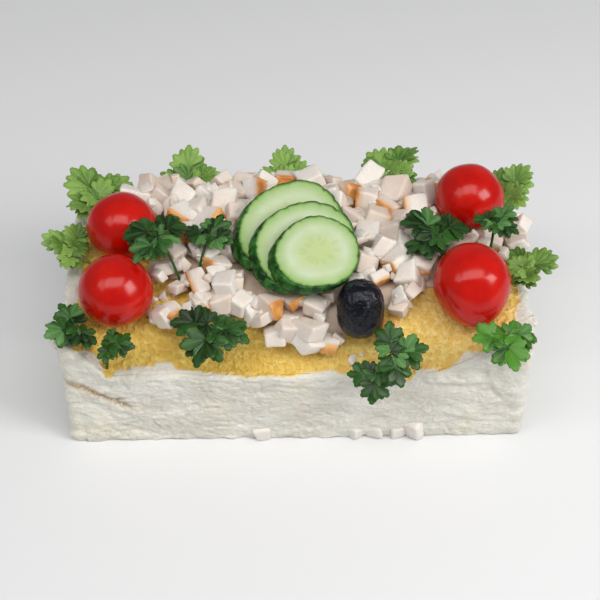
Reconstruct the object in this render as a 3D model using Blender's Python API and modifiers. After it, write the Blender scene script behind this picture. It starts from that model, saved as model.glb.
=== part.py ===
"""Sandwich cake: a bread loaf coated in cream cheese, a yellow egg spread over its top, a heap of diced
chicken, three slices of cucumber, a black olive, four cherry tomatoes and sprigs of flat-leaf parsley.

X runs along the cake, Y from its front to its back and Z up. The origin is the centre of the flat underside.
All sizes are in metres.
"""
import math
import random

import bmesh
import bpy
from mathutils import Matrix, Vector, noise
from mathutils.bvhtree import BVHTree

# Driving sizes of the coated loaf
LENGTH = 0.200
DEPTH = 0.110
FRONT_RIM = 0.040
BACK_RIM = 0.050
END_RIM = 0.058
CORNER_RADIUS = 0.007
FLARE = 0.0015
FOOT_INSET = 0.0012
GAP = 0.0003

# The rim of coating that stands up round the spread
RIM_TOP_WIDTH = 0.0025
RIM_FOOT_WIDTH = 0.0038
END_RIM_TOP_WIDTH = 0.0055
END_RIM_FOOT_WIDTH = 0.0070
LEFT_RISE_START = 0.078
RIGHT_RISE_START = 0.055
RISE_END = 0.098
RIM_LUMP = 0.0012
RIM_LUMPS_PER_METRE = 60
RIM_LUMP_SEED = 3.0

# The seat of the spread: flat on top, sloping to the front and to the back
SEAT_TOP = 0.050
SEAT_FRONT = 0.038
SEAT_BACK = 0.044
SEAT_FRONT_BEND = -0.036
SEAT_BACK_BEND = 0.040

# The spread's dome
CROWN = 0.064
CROWN_DROP_AT_ENDS = 0.006
FRONT_CURVE = 0.036
BACK_CURVE = 0.014
BACK_EDGE = 0.052
FRONT_ROUNDNESS = 1.9
BACK_ROUNDNESS = 2.0
SPREAD_LUMP = 0.0008
SPREAD_LUMPS_PER_METRE = 70
SPREAD_LUMP_SEED = 9.0

# How finely the loaf and the spread are divided
CELL_X = 0.0120
CELL_Y = 0.0080
WALL_ROWS = (0.26, 0.52, 0.76, 0.93)
STROKE_HEIGHT = 0.0009
STROKES_PER_METRE = 28
STROKE_LEVELS_PER_METRE = 130

# Tomatoes: name, centre, half sizes across and along, and the turn of the long axis from upright
TOMATOES = (
    ("cherry_tomato_back_left", (-0.0766, 0.0065, 0.0735), 0.0157, 0.0150, (0, 0)),
    ("cherry_tomato_front_left", (-0.0768, -0.0322, 0.0695), 0.0160, 0.0156, (0, 0)),
    ("cherry_tomato_back_right", (0.0792, 0.0210, 0.0762), 0.0157, 0.0152, (0, 0)),
    ("cherry_tomato_front_right", (0.0752, -0.0335, 0.0710), 0.0168, 0.0184, (128, 8)),
)
TOMATO_TAPER = 0.16
ROUND_TOMATO_TAPER = 0.04
TOMATO_SEGMENTS = (20, 12)
SOCKET_CLEARANCE = 0.0004

# Olive
OLIVE_CENTRE = (0.0272, -0.0414, 0.0654)
OLIVE_RADIUS = 0.0103
OLIVE_HALF_LENGTH = 0.0130
OLIVE_LEAN = 16
OLIVE_BLUNTNESS = 2.4
OLIVE_SEGMENTS = (18, 10)

# Cucumber: slices cut on the bias and laid like shingles, each one higher and further to the front right
SLICE_THICKNESS = 0.0042
SLICE_LEAN_FORWARD = 14
SLICE_LEAN_RIGHT = 6
SLICE_LONG_AXIS_TURN = 56
SLICE_BIAS = 35
SLICE_BIAS_TURN = -30
SLICE_BACK_CENTRE = (-0.0025, -0.0010, 0.0780)
SLICES = (
    ("cucumber_slice_back", (0.0012, 0.0010), 0.0270, 0.0218),
    ("cucumber_slice_middle", (0.0064, -0.0115), 0.0250, 0.0200),
    ("cucumber_slice_front", (0.0116, -0.0190), 0.0198, 0.0178),
)
SLICE_SEGMENTS = 36
SLICE_LUMPS = ((3, 0.018), (5, 0.012))

# Chicken: a thin core on the spread, with dice fused over it
CORE_THICKNESS = 0.0028
DICE_PITCH = 0.0110
DICE_SMALL = 0.0084
DICE_LARGE = 0.0124
DICE_SEED = 25
DICE_LIFT = 0.0024
DICE_ROW_PITCH = 0.87 * DICE_PITCH
DICE_SHIFT = 0.0022
DICE_TILT = 32
DICE_JITTER = 0.0007
DICE_FLATNESS = 0.9
DICE_RISE = 0.30
DICE_SHRINKS = (1.0, 0.8, 0.62)
SHRINK_DROP = 0.4
DICE_CLEARANCE = 1.10
LIFT_STEP = 0.0008
LIFT_STEPS = 8
CORE_MARGIN = 0.0005
HEAP_LEFT = -0.062
HEAP_LEFT_BACK = -0.078
HEAP_LEFT_STEP = 0.022
HEAP_RIGHT = 0.1015
HEAP_BACK = 0.0500
HEAP_FRONT = -0.024
HEAP_BULGE = 0.026
HEAP_BULGE_AT = 0.012
HEAP_BULGE_WIDTH = 0.042
HEAP_STEP = 0.064
HEAP_STEP_FRONT = -0.010
STRAY_DICE = (
    (-0.0600, -0.0375),
    (-0.0530, -0.0380),
    (-0.0455, -0.0365),
    (-0.0385, -0.0345),
    (-0.0320, -0.0330),
    (0.0050, -0.0485),
    (-0.0040, -0.0455),
    (0.0400, -0.0425),
    (0.0925, -0.0030),
    (0.0990, 0.0030),
    (0.1010, 0.0110),
    (0.0985, 0.0190),
)
FOOT_DICE = (
    (-0.0156, 0.0090, 12),
    (0.0267, 0.0075, 35),
    (0.0350, 0.0080, -20),
    (0.0450, 0.0075, 15),
    (0.0520, 0.0110, -35),
)
FOOT_DIE_SHAPE = (1.0, 0.8, 0.9)
FOOT_DIE_INSET = 0.10
FOOT_DIE_RISE = 0.52

# Parsley: name, hub, heading of the tip from the back towards the left, rise of the tip, roll towards the
# right, reach of the tip leaflet, stem length. All three angles are in degrees.
SPRIGS = (
    ("parsley_sprig_back_left_corner", (-0.0890, 0.0340, 0.0670), 48, 24, 0, 0.0210, 0.010),
    ("parsley_sprig_left_edge", (-0.0975, -0.0010, 0.0668), 86, 18, -8, 0.0155, 0.006),
    ("parsley_sprig_back_left", (-0.0487, 0.0505, 0.0645), 4, 20, 0, 0.0180, 0.007),
    ("parsley_sprig_back_middle", (-0.0030, 0.0512, 0.0650), 4, 24, 0, 0.0165, 0.007),
    ("parsley_sprig_back_right", (0.0450, 0.0515, 0.0675), -50, 22, 0, 0.0190, 0.006),
    ("parsley_sprig_right_back_corner", (0.0975, 0.0360, 0.0670), -62, 26, 0, 0.0175, 0.008),
    ("parsley_sprig_right_edge", (0.0990, -0.0165, 0.0650), -92, 18, 6, 0.0165, 0.006),
    ("parsley_sprig_front_left_corner", (-0.0920, -0.0485, 0.0645), 124, 4, -6, 0.0157, 0.001),
    ("parsley_sprig_front_left_inner", (-0.0785, -0.0568, 0.0612), 258, 2, 10, 0.0115, 0.003),
    ("parsley_sprig_left_middle", (-0.0572, -0.0180, 0.0860), 58, 0, 0, 0.0195, 0.010),
    ("parsley_sprig_left_middle_small", (-0.0380, -0.0105, 0.0800), -30, 8, 0, 0.0145, 0.010),
    ("parsley_sprig_front_left_middle", (-0.0360, -0.0470, 0.0625), 165, -22, 0, 0.0205, 0.006),
    ("parsley_sprig_front_right_upper", (0.0390, -0.0612, 0.0572), -82, 4, 34, 0.0166, 0.004),
    ("parsley_sprig_front_right_lower", (0.0325, -0.0630, 0.0490), 178, -42, 0, 0.0140, 0.004),
    ("parsley_sprig_between_right_tomatoes", (0.0625, -0.0115, 0.0805), 42, 4, 0, 0.0205, 0.004),
    ("parsley_sprig_over_right_tomatoes", (0.0858, -0.0125, 0.0872), -40, 4, 0, 0.0135, 0.003),
    ("parsley_sprig_right_front_corner", (0.0870, -0.0570, 0.0640), 188, -22, 0, 0.0175, 0.004),
)
LEAFLET_TURNS = (0, 82, -82)
LEAFLET_SHARES = (1.0, 0.86, 0.86)
LEAFLET_DROOPS = (0.10, -0.12, 0.16)
LEAFLET_EDGE = (
    (-41, 0.32), (-34, 0.78), (-21, 0.92), (-12, 0.70), (-6, 1.0),
    (6, 1.0), (12, 0.70), (21, 0.92), (34, 0.78), (41, 0.32),
)
HUB_EDGE = ((155, 0.17), (-155, 0.17))
LEAF_THICKNESS = 0.0007
LEAF_WAVE = 0.0010
LEAF_WAVES_ROUND = 5
LEAF_UNEVEN = 0.07
STEM_RADIUS = 0.0007
STEM_CLEARANCE = 0.0022
STEM_INSET = 0.004
STEM_START = 0.07

# Colours are linear, with a roughness
CREAM = ((0.62, 0.58, 0.49), 0.55)
YELLOW = ((0.72, 0.46, 0.10), 0.65)
CHICKEN = ((0.80, 0.68, 0.57), 0.50)
RED = ((0.60, 0.012, 0.003), 0.18)
BLACK = ((0.012, 0.014, 0.022), 0.35)
CUCUMBER = ((0.42, 0.62, 0.25), 0.35)
GREEN = ((0.05, 0.16, 0.02), 0.50)


def clear_scene():
    """Remove every object, so that the script can run again."""
    for thing in list(bpy.data.objects):
        bpy.data.objects.remove(thing, do_unlink=True)


def make_collection(name):
    """A new collection in the scene."""
    collection = bpy.data.collections.new(name)
    bpy.context.scene.collection.children.link(collection)
    return collection


def make_material(name, look):
    """A plain Principled material of one colour and roughness."""
    colour, roughness = look
    material = bpy.data.materials.new(name)
    material.use_nodes = True
    shader = material.node_tree.nodes["Principled BSDF"]
    shader.inputs["Base Color"].default_value = (*colour, 1.0)
    shader.inputs["Roughness"].default_value = roughness
    return material


def make_object(name, bm, collection, material=None):
    """Turn a bmesh into an object with outward faces, and free the bmesh."""
    bmesh.ops.recalc_face_normals(bm, faces=bm.faces[:])
    mesh = bpy.data.meshes.new(name)
    bm.to_mesh(mesh)
    bm.free()
    if material:
        mesh.materials.append(material)
    thing = bpy.data.objects.new(name, mesh)
    collection.objects.link(thing)
    return thing


def apply_modifiers(thing):
    """Replace an object's mesh by what its modifiers make of it."""
    bpy.context.view_layer.update()
    graph = bpy.context.evaluated_depsgraph_get()
    mesh = bpy.data.meshes.new_from_object(thing.evaluated_get(graph))
    thing.modifiers.clear()
    thing.data = mesh


def cut_seats(thing, pieces):
    """Cut a seat into an object for each piece that is sunk in it, with a clearance all round."""
    seats = make_collection(thing.name + "_seats")
    for piece in pieces:
        seat = piece.copy()
        seat.data = piece.data.copy()
        centre = sum((vert.co for vert in seat.data.vertices), Vector()) / len(seat.data.vertices)
        reach = min((vert.co - centre).length for vert in seat.data.vertices)
        growth = 1 + SOCKET_CLEARANCE / reach
        seat.data.transform(Matrix.Translation(centre) @ Matrix.Scale(growth, 4) @ Matrix.Translation(-centre))
        seats.objects.link(seat)
    cut = thing.modifiers.new("seats", "BOOLEAN")
    cut.operation = "DIFFERENCE"
    cut.operand_type = "COLLECTION"
    cut.collection = seats
    apply_modifiers(thing)
    remove_collection(seats)


def fuse(thing, pieces, solver="EXACT"):
    """Join a collection of pieces to an object with one Boolean union, and keep the outer body alone."""
    union = thing.modifiers.new("fuse", "BOOLEAN")
    union.operation = "UNION"
    union.solver = solver
    union.operand_type = "COLLECTION"
    union.collection = pieces
    apply_modifiers(thing)
    remove_collection(pieces)
    keep_outer_body(thing)


def remove_collection(collection):
    """Remove a collection and its objects."""
    for thing in list(collection.objects):
        bpy.data.objects.remove(thing, do_unlink=True)
    bpy.data.collections.remove(collection)


def connected_faces(bm):
    """The faces of a mesh, sorted into bodies that share edges."""
    waiting = set(bm.faces)
    while waiting:
        body = [waiting.pop()]
        for face in body:
            for edge in face.edges:
                for other in edge.link_faces:
                    if other in waiting:
                        waiting.remove(other)
                        body.append(other)
        yield body


def body_volume(faces):
    """The signed volume that a closed set of faces bounds: negative for a sealed hollow."""
    volume = 0.0
    for face in faces:
        corners = [vert.co for vert in face.verts]
        for second, third in zip(corners[1:-1], corners[2:]):
            volume += corners[0].dot(second.cross(third)) / 6
    return volume


def keep_outer_body(thing):
    """Fill the hollows that a union has sealed, and drop its loose scraps."""
    bm = bmesh.new()
    bm.from_mesh(thing.data)
    bodies = sorted(connected_faces(bm), key=body_volume)
    for body in bodies[:-1]:
        bmesh.ops.delete(bm, geom=body, context="FACES")
    bm.to_mesh(thing.data)
    bm.free()


def smooth_step(value, start, end):
    """From 0 at the start to 1 at the end, without a kink."""
    share = min(max((value - start) / (end - start), 0.0), 1.0)
    return share * share * (3 - 2 * share)


def rim_height(x, y):
    """The height of the coating's upper edge: low along the front, high at both ends."""
    start = LEFT_RISE_START if x < 0 else RIGHT_RISE_START
    base = FRONT_RIM if y < 0 else BACK_RIM
    height = base + (END_RIM - base) * smooth_step(abs(x), start, RISE_END)
    lump = noise.noise(Vector((x * RIM_LUMPS_PER_METRE, y * RIM_LUMPS_PER_METRE, RIM_LUMP_SEED)))
    return height + RIM_LUMP * lump


def seat_height(y):
    """The height of the flat-sided seat under the spread."""
    if y < SEAT_FRONT_BEND:
        edge = -DEPTH / 2 + RIM_FOOT_WIDTH
        share = (y - edge) / (SEAT_FRONT_BEND - edge)
        return SEAT_FRONT + (SEAT_TOP - SEAT_FRONT) * share
    if y > SEAT_BACK_BEND:
        edge = DEPTH / 2 - RIM_FOOT_WIDTH
        share = (edge - y) / (edge - SEAT_BACK_BEND)
        return SEAT_BACK + (SEAT_TOP - SEAT_BACK) * share
    return SEAT_TOP


def spread_height(x, y):
    """The height of the spread's dome."""
    half_length = LENGTH / 2 - END_RIM_FOOT_WIDTH
    half_depth = DEPTH / 2 - RIM_FOOT_WIDTH
    crown = CROWN - CROWN_DROP_AT_ENDS * min(abs(x) / half_length, 1.0) ** 4
    front_share = min(max((y + half_depth) / FRONT_CURVE, 0.0), 1.0)
    back_share = min(max((half_depth - y) / BACK_CURVE, 0.0), 1.0)
    front = rim_height(x, -1.0)
    front_height = front + (crown - front) * (1 - (1 - front_share) ** FRONT_ROUNDNESS)
    back_height = BACK_EDGE + (crown - BACK_EDGE) * (1 - (1 - back_share) ** BACK_ROUNDNESS)
    lump = noise.noise(Vector((x * SPREAD_LUMPS_PER_METRE, y * SPREAD_LUMPS_PER_METRE, SPREAD_LUMP_SEED)))
    return min(front_height, back_height) + SPREAD_LUMP * lump * min(front_share * 3, 1.0)


def cake_top(x, y):
    """The height of what the toppings lie on: the spread, or the rim round it."""
    inside = abs(x) < LENGTH / 2 - END_RIM_FOOT_WIDTH and abs(y) < DEPTH / 2 - RIM_FOOT_WIDTH
    return spread_height(x, y) if inside else rim_height(x, y)


def even_lines(start, end, cell):
    """Evenly spaced values between two ends, about a cell apart, without the ends."""
    count = max(round((end - start) / cell), 1)
    return [start + (end - start) * step / count for step in range(1, count)]


def cut_box(half_length, half_depth, x_lines, y_lines, z_lines):
    """A box of height 1 that stands on the origin's plane, cut across at the given lines."""
    bm = bmesh.new()
    bmesh.ops.create_cube(bm, size=1.0)
    bmesh.ops.scale(bm, vec=(2 * half_length, 2 * half_depth, 1.0), verts=bm.verts[:])
    bmesh.ops.translate(bm, vec=(0, 0, 0.5), verts=bm.verts[:])
    for axis, lines in enumerate((x_lines, y_lines, z_lines)):
        normal = Vector((axis == 0, axis == 1, axis == 2))
        for line in lines:
            geometry = bm.verts[:] + bm.edges[:] + bm.faces[:]
            bmesh.ops.bisect_plane(bm, geom=geometry, dist=1e-7, plane_co=normal * line, plane_no=normal)
    return bm


def round_corner(x, y):
    """Move a point of the box's plan so that the plan's square corners become round."""
    inner_x = LENGTH / 2 - CORNER_RADIUS
    inner_y = DEPTH / 2 - CORNER_RADIUS
    out_x = max(abs(x) - inner_x, 0.0)
    out_y = max(abs(y) - inner_y, 0.0)
    if out_x == 0.0 or out_y == 0.0:
        return x, y
    shrink = max(out_x, out_y) / math.hypot(out_x, out_y)
    return math.copysign(inner_x + out_x * shrink, x), math.copysign(inner_y + out_y * shrink, y)


def stroke(x, y, z):
    """How far a knife stroke stands out of the wall: the strokes run level, so they are long and low."""
    spot = Vector((x * STROKES_PER_METRE, y * STROKES_PER_METRE, z * STROKE_LEVELS_PER_METRE))
    return STROKE_HEIGHT * noise.noise(spot)


def tray_height(x, y):
    """The height of the coated loaf at a point of its plan: its rim, or the seat of the spread."""
    in_x = LENGTH / 2 - abs(x)
    in_y = DEPTH / 2 - abs(y)
    if in_x >= END_RIM_FOOT_WIDTH - 1e-6 and in_y >= RIM_FOOT_WIDTH - 1e-6:
        return seat_height(y)
    return rim_height(x, y)


def build_loaf(collection, dice, material):
    """The bread loaf in its coat of cream, with a flat underside and a shallow seat for the spread."""
    seat_x = LENGTH / 2 - END_RIM_FOOT_WIDTH
    seat_y = DEPTH / 2 - RIM_FOOT_WIDTH
    rim_x = LENGTH / 2 - END_RIM_TOP_WIDTH
    rim_y = DEPTH / 2 - RIM_TOP_WIDTH
    x_lines = [-rim_x, -seat_x, *even_lines(-seat_x, seat_x, CELL_X), seat_x, rim_x]
    y_lines = [-rim_y, -seat_y, *even_lines(-seat_y, SEAT_FRONT_BEND, CELL_Y), SEAT_FRONT_BEND]
    y_lines += [*even_lines(SEAT_FRONT_BEND, SEAT_BACK_BEND, CELL_Y), SEAT_BACK_BEND, seat_y, rim_y]
    bm = cut_box(LENGTH / 2, DEPTH / 2, x_lines, y_lines, WALL_ROWS)
    for vert in bm.verts:
        x, y, share = vert.co
        on_wall = abs(x) > LENGTH / 2 - 1e-6 or abs(y) > DEPTH / 2 - 1e-6
        plan = Vector(round_corner(x, y))
        height = share * tray_height(x, y)
        if on_wall:
            inner = Vector((math.copysign(min(abs(x), LENGTH / 2 - CORNER_RADIUS), x),
                            math.copysign(min(abs(y), DEPTH / 2 - CORNER_RADIUS), y)))
            outward = (plan - inner).normalized()
            push = FLARE * share + stroke(x, y, height) - (FOOT_INSET if share == 0.0 else 0.0)
            plan += outward * push
        vert.co = (plan.x, plan.y, height)
    bmesh.ops.dissolve_limit(bm, angle_limit=1e-4, verts=bm.verts[:], edges=bm.edges[:])
    bmesh.ops.triangulate(bm, faces=bm.faces[:])
    loaf = make_object("cream_loaf", bm, collection, material)
    for x, size, turn in FOOT_DICE:
        centre = Vector((x, -DEPTH / 2 + size * FOOT_DIE_INSET, size * FOOT_DIE_RISE))
        add_die(dice, centre, [size * share for share in FOOT_DIE_SHAPE], (0, 0, turn))
    fuse(loaf, dice)
    return loaf


def build_spread(collection, material):
    """The yellow spread: flat underneath on its seat, domed on top."""
    half_length = LENGTH / 2 - END_RIM_FOOT_WIDTH - GAP
    half_depth = DEPTH / 2 - RIM_FOOT_WIDTH - GAP
    x_lines = even_lines(-half_length, half_length, CELL_X)
    y_lines = [*even_lines(-half_depth, SEAT_FRONT_BEND, CELL_Y), SEAT_FRONT_BEND]
    y_lines += [*even_lines(SEAT_FRONT_BEND, SEAT_BACK_BEND, CELL_Y), SEAT_BACK_BEND]
    bm = cut_box(half_length, half_depth, x_lines, y_lines, ())
    for vert in bm.verts:
        x, y, share = vert.co
        vert.co.z = seat_height(y) + GAP if share == 0.0 else spread_height(x, y)
    bmesh.ops.dissolve_limit(bm, angle_limit=1e-4, verts=bm.verts[:], edges=bm.edges[:])
    bmesh.ops.triangulate(bm, faces=bm.faces[:])
    return make_object("yellow_spread", bm, collection, material)


def build_tomato(name, centre, radius, half_length, turn, collection, material):
    """A cherry tomato, a little narrower towards one end."""
    bm = bmesh.new()
    round_segments, long_segments = TOMATO_SEGMENTS
    bmesh.ops.create_uvsphere(bm, u_segments=round_segments, v_segments=long_segments, radius=1.0)
    tilt, heading = turn
    narrowing = TOMATO_TAPER if half_length > radius else ROUND_TOMATO_TAPER
    for vert in bm.verts:
        width = radius * (1 - narrowing * max(vert.co.z, 0.0))
        vert.co = (vert.co.x * width, vert.co.y * width, vert.co.z * half_length)
    spin = Matrix.Rotation(math.radians(heading), 4, "Z") @ Matrix.Rotation(math.radians(tilt), 4, "X")
    bmesh.ops.transform(bm, matrix=Matrix.Translation(centre) @ spin, verts=bm.verts[:])
    return make_object(name, bm, collection, material)


def build_olive(collection, material):
    """The olive, which lies up the front slope of the spread."""
    bm = bmesh.new()
    round_segments, long_segments = OLIVE_SEGMENTS
    bmesh.ops.create_uvsphere(bm, u_segments=round_segments, v_segments=long_segments, radius=1.0)
    for vert in bm.verts:
        ring = max(math.hypot(vert.co.x, vert.co.y), 1e-6)
        blunt = max(1 - min(abs(vert.co.z), 1.0) ** OLIVE_BLUNTNESS, 0.0) ** (1 / OLIVE_BLUNTNESS) / ring
        width = OLIVE_RADIUS * blunt
        vert.co = (vert.co.x * width, vert.co.y * width, vert.co.z * OLIVE_HALF_LENGTH)
    spin = Matrix.Rotation(math.radians(-OLIVE_LEAN), 4, "X")
    bmesh.ops.transform(bm, matrix=Matrix.Translation(OLIVE_CENTRE) @ spin, verts=bm.verts[:])
    return make_object("black_olive", bm, collection, material)


def slice_frame():
    """The turn that all the cucumber slices share, out of the level."""
    lean_right = Matrix.Rotation(math.radians(SLICE_LEAN_RIGHT), 4, "Y")
    lean_forward = Matrix.Rotation(math.radians(SLICE_LEAN_FORWARD), 4, "X")
    return lean_right @ lean_forward


def build_slice(number, name, shift, long_radius, short_radius, collection, material):
    """One slice: an oval disc whose rind wall slants, because the cut was made on the bias."""
    bm = bmesh.new()
    bmesh.ops.create_cone(bm, cap_ends=True, segments=SLICE_SEGMENTS, radius1=1.0, radius2=1.0,
                          depth=SLICE_THICKNESS)
    slant = SLICE_THICKNESS * math.tan(math.radians(SLICE_BIAS))
    slant_x = slant * math.cos(math.radians(SLICE_BIAS_TURN))
    slant_y = slant * math.sin(math.radians(SLICE_BIAS_TURN))
    for vert in bm.verts:
        angle = math.atan2(vert.co.y, vert.co.x)
        uneven = 1 + sum(lump * math.sin(count * angle + count * number) for count, lump in SLICE_LUMPS)
        below = 0.5 - vert.co.z / SLICE_THICKNESS
        vert.co.x = vert.co.x * long_radius * uneven - slant_x * below
        vert.co.y = vert.co.y * short_radius * uneven - slant_y * below
        vert.co.z -= SLICE_THICKNESS / 2
    turn = Matrix.Rotation(math.radians(SLICE_LONG_AXIS_TURN), 4, "Z")
    rise = number * (SLICE_THICKNESS + GAP)
    local = Matrix.Translation((shift[0], shift[1], rise))
    place = Matrix.Translation(SLICE_BACK_CENTRE) @ slice_frame() @ local @ turn
    bmesh.ops.transform(bm, matrix=place, verts=bm.verts[:])
    return make_object(name, bm, collection, material)


def leaf_edge():
    """The edge of a sprig's sheet, counter-clockwise: angle from the tip, reach and height, for a reach of 1."""
    edge = []
    for turn, share, droop in zip(LEAFLET_TURNS, LEAFLET_SHARES, LEAFLET_DROOPS):
        for offset, reach in LEAFLET_EDGE:
            edge.append((turn + offset, share * reach, droop * reach * reach))
    edge += [(angle, reach, 0.0) for angle, reach in HUB_EDGE]
    return sorted(edge)


def build_sheet(name, length, number, collection, material):
    """The three leaflets of a sprig as one thin wavy sheet round the hub, with three lobes to a leaflet."""
    edge = leaf_edge()
    bm = bmesh.new()
    made = bmesh.ops.create_circle(bm, cap_ends=True, cap_tris=True, segments=len(edge), radius=1.0)
    rim = [vert for vert in made["verts"] if vert.co.length > 0.5]
    rim.sort(key=lambda vert: math.atan2(vert.co.y, vert.co.x))
    for vert, (angle, reach, height) in zip(rim, edge):
        uneven = 1 + LEAF_UNEVEN * math.sin(2.3 * number + angle * 0.11)
        wave = LEAF_WAVE * math.sin(math.radians(LEAF_WAVES_ROUND * angle) + number) * min(reach * 2, 1.0)
        out = Vector((-math.sin(math.radians(angle)), math.cos(math.radians(angle)), 0))
        vert.co = out * (length * reach * uneven)
        vert.co.z = length * height + wave
    sheet = make_object(name, bm, collection, material)
    skin = sheet.modifiers.new("thickness", "SOLIDIFY")
    skin.thickness = LEAF_THICKNESS
    skin.offset = 0.0
    apply_modifiers(sheet)
    return sheet


def add_stem(stems, name, route):
    """A thin stem along a route, closed at both ends."""
    curve = bpy.data.curves.new(name, "CURVE")
    curve.dimensions = "3D"
    curve.bevel_depth = STEM_RADIUS
    curve.bevel_resolution = 0
    curve.use_fill_caps = True
    spline = curve.splines.new("POLY")
    spline.points.add(len(route) - 1)
    for point, spot in zip(spline.points, route):
        point.co = (*spot, 1.0)
    tube = bpy.data.objects.new(name, curve)
    stems.objects.link(tube)
    bpy.context.view_layer.update()
    mesh = bpy.data.meshes.new_from_object(tube.evaluated_get(bpy.context.evaluated_depsgraph_get()))
    bpy.data.objects.remove(tube, do_unlink=True)
    bm = bmesh.new()
    bm.from_mesh(mesh)
    bmesh.ops.remove_doubles(bm, verts=bm.verts[:], dist=1e-6)
    return make_object(name, bm, stems)


def build_sprig(number, name, hub, heading, rise, roll, length, stem_length, collection, material):
    """A sprig: a sheet of three leaflets, on a stem that comes down to what the sprig lies on."""
    place = Matrix.Translation(hub)
    place = place @ Matrix.Rotation(math.radians(heading), 4, "Z")
    place = place @ Matrix.Rotation(math.radians(rise), 4, "X")
    place = place @ Matrix.Rotation(math.radians(roll), 4, "Y")
    foot = place @ Vector((0, -stem_length, 0))
    foot.x = min(max(foot.x, STEM_INSET - LENGTH / 2), LENGTH / 2 - STEM_INSET)
    foot.y = min(max(foot.y, STEM_INSET - DEPTH / 2), DEPTH / 2 - STEM_INSET)
    foot.z = min(lies_on(foot.x, foot.y) + STEM_CLEARANCE, foot.z)
    foot = place.inverted() @ foot
    sheet = build_sheet(name, length, number, collection, material)
    stems = make_collection(name + "_stems")
    start = Vector((0, -STEM_START * length, 0))
    add_stem(stems, name + "_stem", (start, foot * 0.5 + Vector((0, 0, stem_length * 0.1)), foot))
    fuse(sheet, stems, "MANIFOLD")
    sheet.data.transform(place)
    return sheet


def heap_front(x):
    """How far forward the chicken reaches at a place along the cake."""
    if x > HEAP_STEP:
        return HEAP_STEP_FRONT
    return HEAP_FRONT - HEAP_BULGE * math.exp(-((x - HEAP_BULGE_AT) / HEAP_BULGE_WIDTH) ** 2)


def in_heap(x, y, margin=0.0):
    """Whether a point of the plan lies under the chicken, at least a margin inside its outline."""
    left = HEAP_LEFT if y < HEAP_LEFT_STEP else HEAP_LEFT_BACK
    return left + margin < x < HEAP_RIGHT - margin and heap_front(x) + margin < y < HEAP_BACK - margin


def lies_on(x, y):
    """The height of the cake with the chicken's core on it."""
    return cake_top(x, y) + (CORE_THICKNESS + 2 * GAP if in_heap(x, y) else 0.0)


def build_core(spread, collection, material):
    """The thin core under the dice: a skin that follows the top of the spread."""
    bm = bmesh.new()
    bm.from_mesh(spread.data)
    away = []
    for face in bm.faces:
        under_heap = all(in_heap(vert.co.x, vert.co.y, CORE_MARGIN) for vert in face.verts)
        if face.normal.z < 0.3 or not under_heap:
            away.append(face)
    bmesh.ops.delete(bm, geom=away, context="FACES")
    bmesh.ops.translate(bm, vec=(0, 0, GAP * 1.5), verts=bm.verts[:])
    mesh = bpy.data.meshes.new("diced_chicken")
    bm.to_mesh(mesh)
    bm.free()
    mesh.materials.append(material)
    core = bpy.data.objects.new("diced_chicken", mesh)
    collection.objects.link(core)
    skin = core.modifiers.new("thickness", "SOLIDIFY")
    skin.thickness = CORE_THICKNESS
    skin.offset = 1.0
    apply_modifiers(core)
    return core


def add_die(dice, centre, sizes, turns, jitter=0.0, rng=None):
    """One cube of chicken, with its corners a little out of true."""
    bm = bmesh.new()
    bmesh.ops.create_cube(bm, size=1.0)
    bmesh.ops.scale(bm, vec=sizes, verts=bm.verts[:])
    if rng:
        for vert in bm.verts:
            vert.co += Vector([rng.uniform(-jitter, jitter) for _ in range(3)])
    spin = Matrix.Identity(4)
    for axis, turn in zip("ZXY", (turns[2], turns[0], turns[1])):
        spin = spin @ Matrix.Rotation(math.radians(turn), 4, axis)
    bmesh.ops.transform(bm, matrix=Matrix.Translation(centre) @ spin, verts=bm.verts[:])
    return make_object("die", bm, dice)


def tree_of(thing):
    """A search tree of an object's faces."""
    mesh = thing.data
    return BVHTree.FromPolygons([vert.co for vert in mesh.vertices], [face.vertices for face in mesh.polygons])


def hits(die, trees, centres):
    """Whether a die, grown by its clearance, meets any topping or lies inside a solid one."""
    points = [vert.co for vert in die.data.vertices]
    middle = sum(points, Vector()) / len(points)
    if any((middle - centre).length < reach for centre, reach in centres):
        return True
    grown = [middle + (point - middle) * DICE_CLEARANCE for point in points]
    tree = BVHTree.FromPolygons(grown, [face.vertices for face in die.data.polygons])
    return any(tree.overlap(other) for other in trees)


def lift_onto_cake(die, ground):
    """Raise a die in small steps until it is clear of the loaf and the spread."""
    short = max(cake_top(vert.co.x, vert.co.y) + LIFT_STEP - vert.co.z for vert in die.data.vertices)
    die.data.transform(Matrix.Translation((0, 0, max(short, 0.0))))
    for _ in range(LIFT_STEPS):
        if not hits(die, ground, ()):
            return
        die.data.transform(Matrix.Translation((0, 0, LIFT_STEP)))


def dice_places():
    """The seeded places of the dice: rows over the heap, each place shifted at random."""
    rng = random.Random(DICE_SEED)
    places = [(Vector((x, y)), 0.0) for x, y in STRAY_DICE]
    rows = int((HEAP_BACK + DEPTH / 2) / DICE_ROW_PITCH) + 1
    columns = int(LENGTH / DICE_PITCH) + 1
    for row in range(rows):
        for column in range(columns):
            x = -LENGTH / 2 + (column + 0.5 * (row % 2)) * DICE_PITCH + rng.uniform(-DICE_SHIFT, DICE_SHIFT)
            y = -DEPTH / 2 + row * DICE_ROW_PITCH + rng.uniform(-DICE_SHIFT, DICE_SHIFT)
            if in_heap(x, y):
                places.append((Vector((x, y)), rng.uniform(0.0, DICE_LIFT)))
    return places, rng


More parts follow.
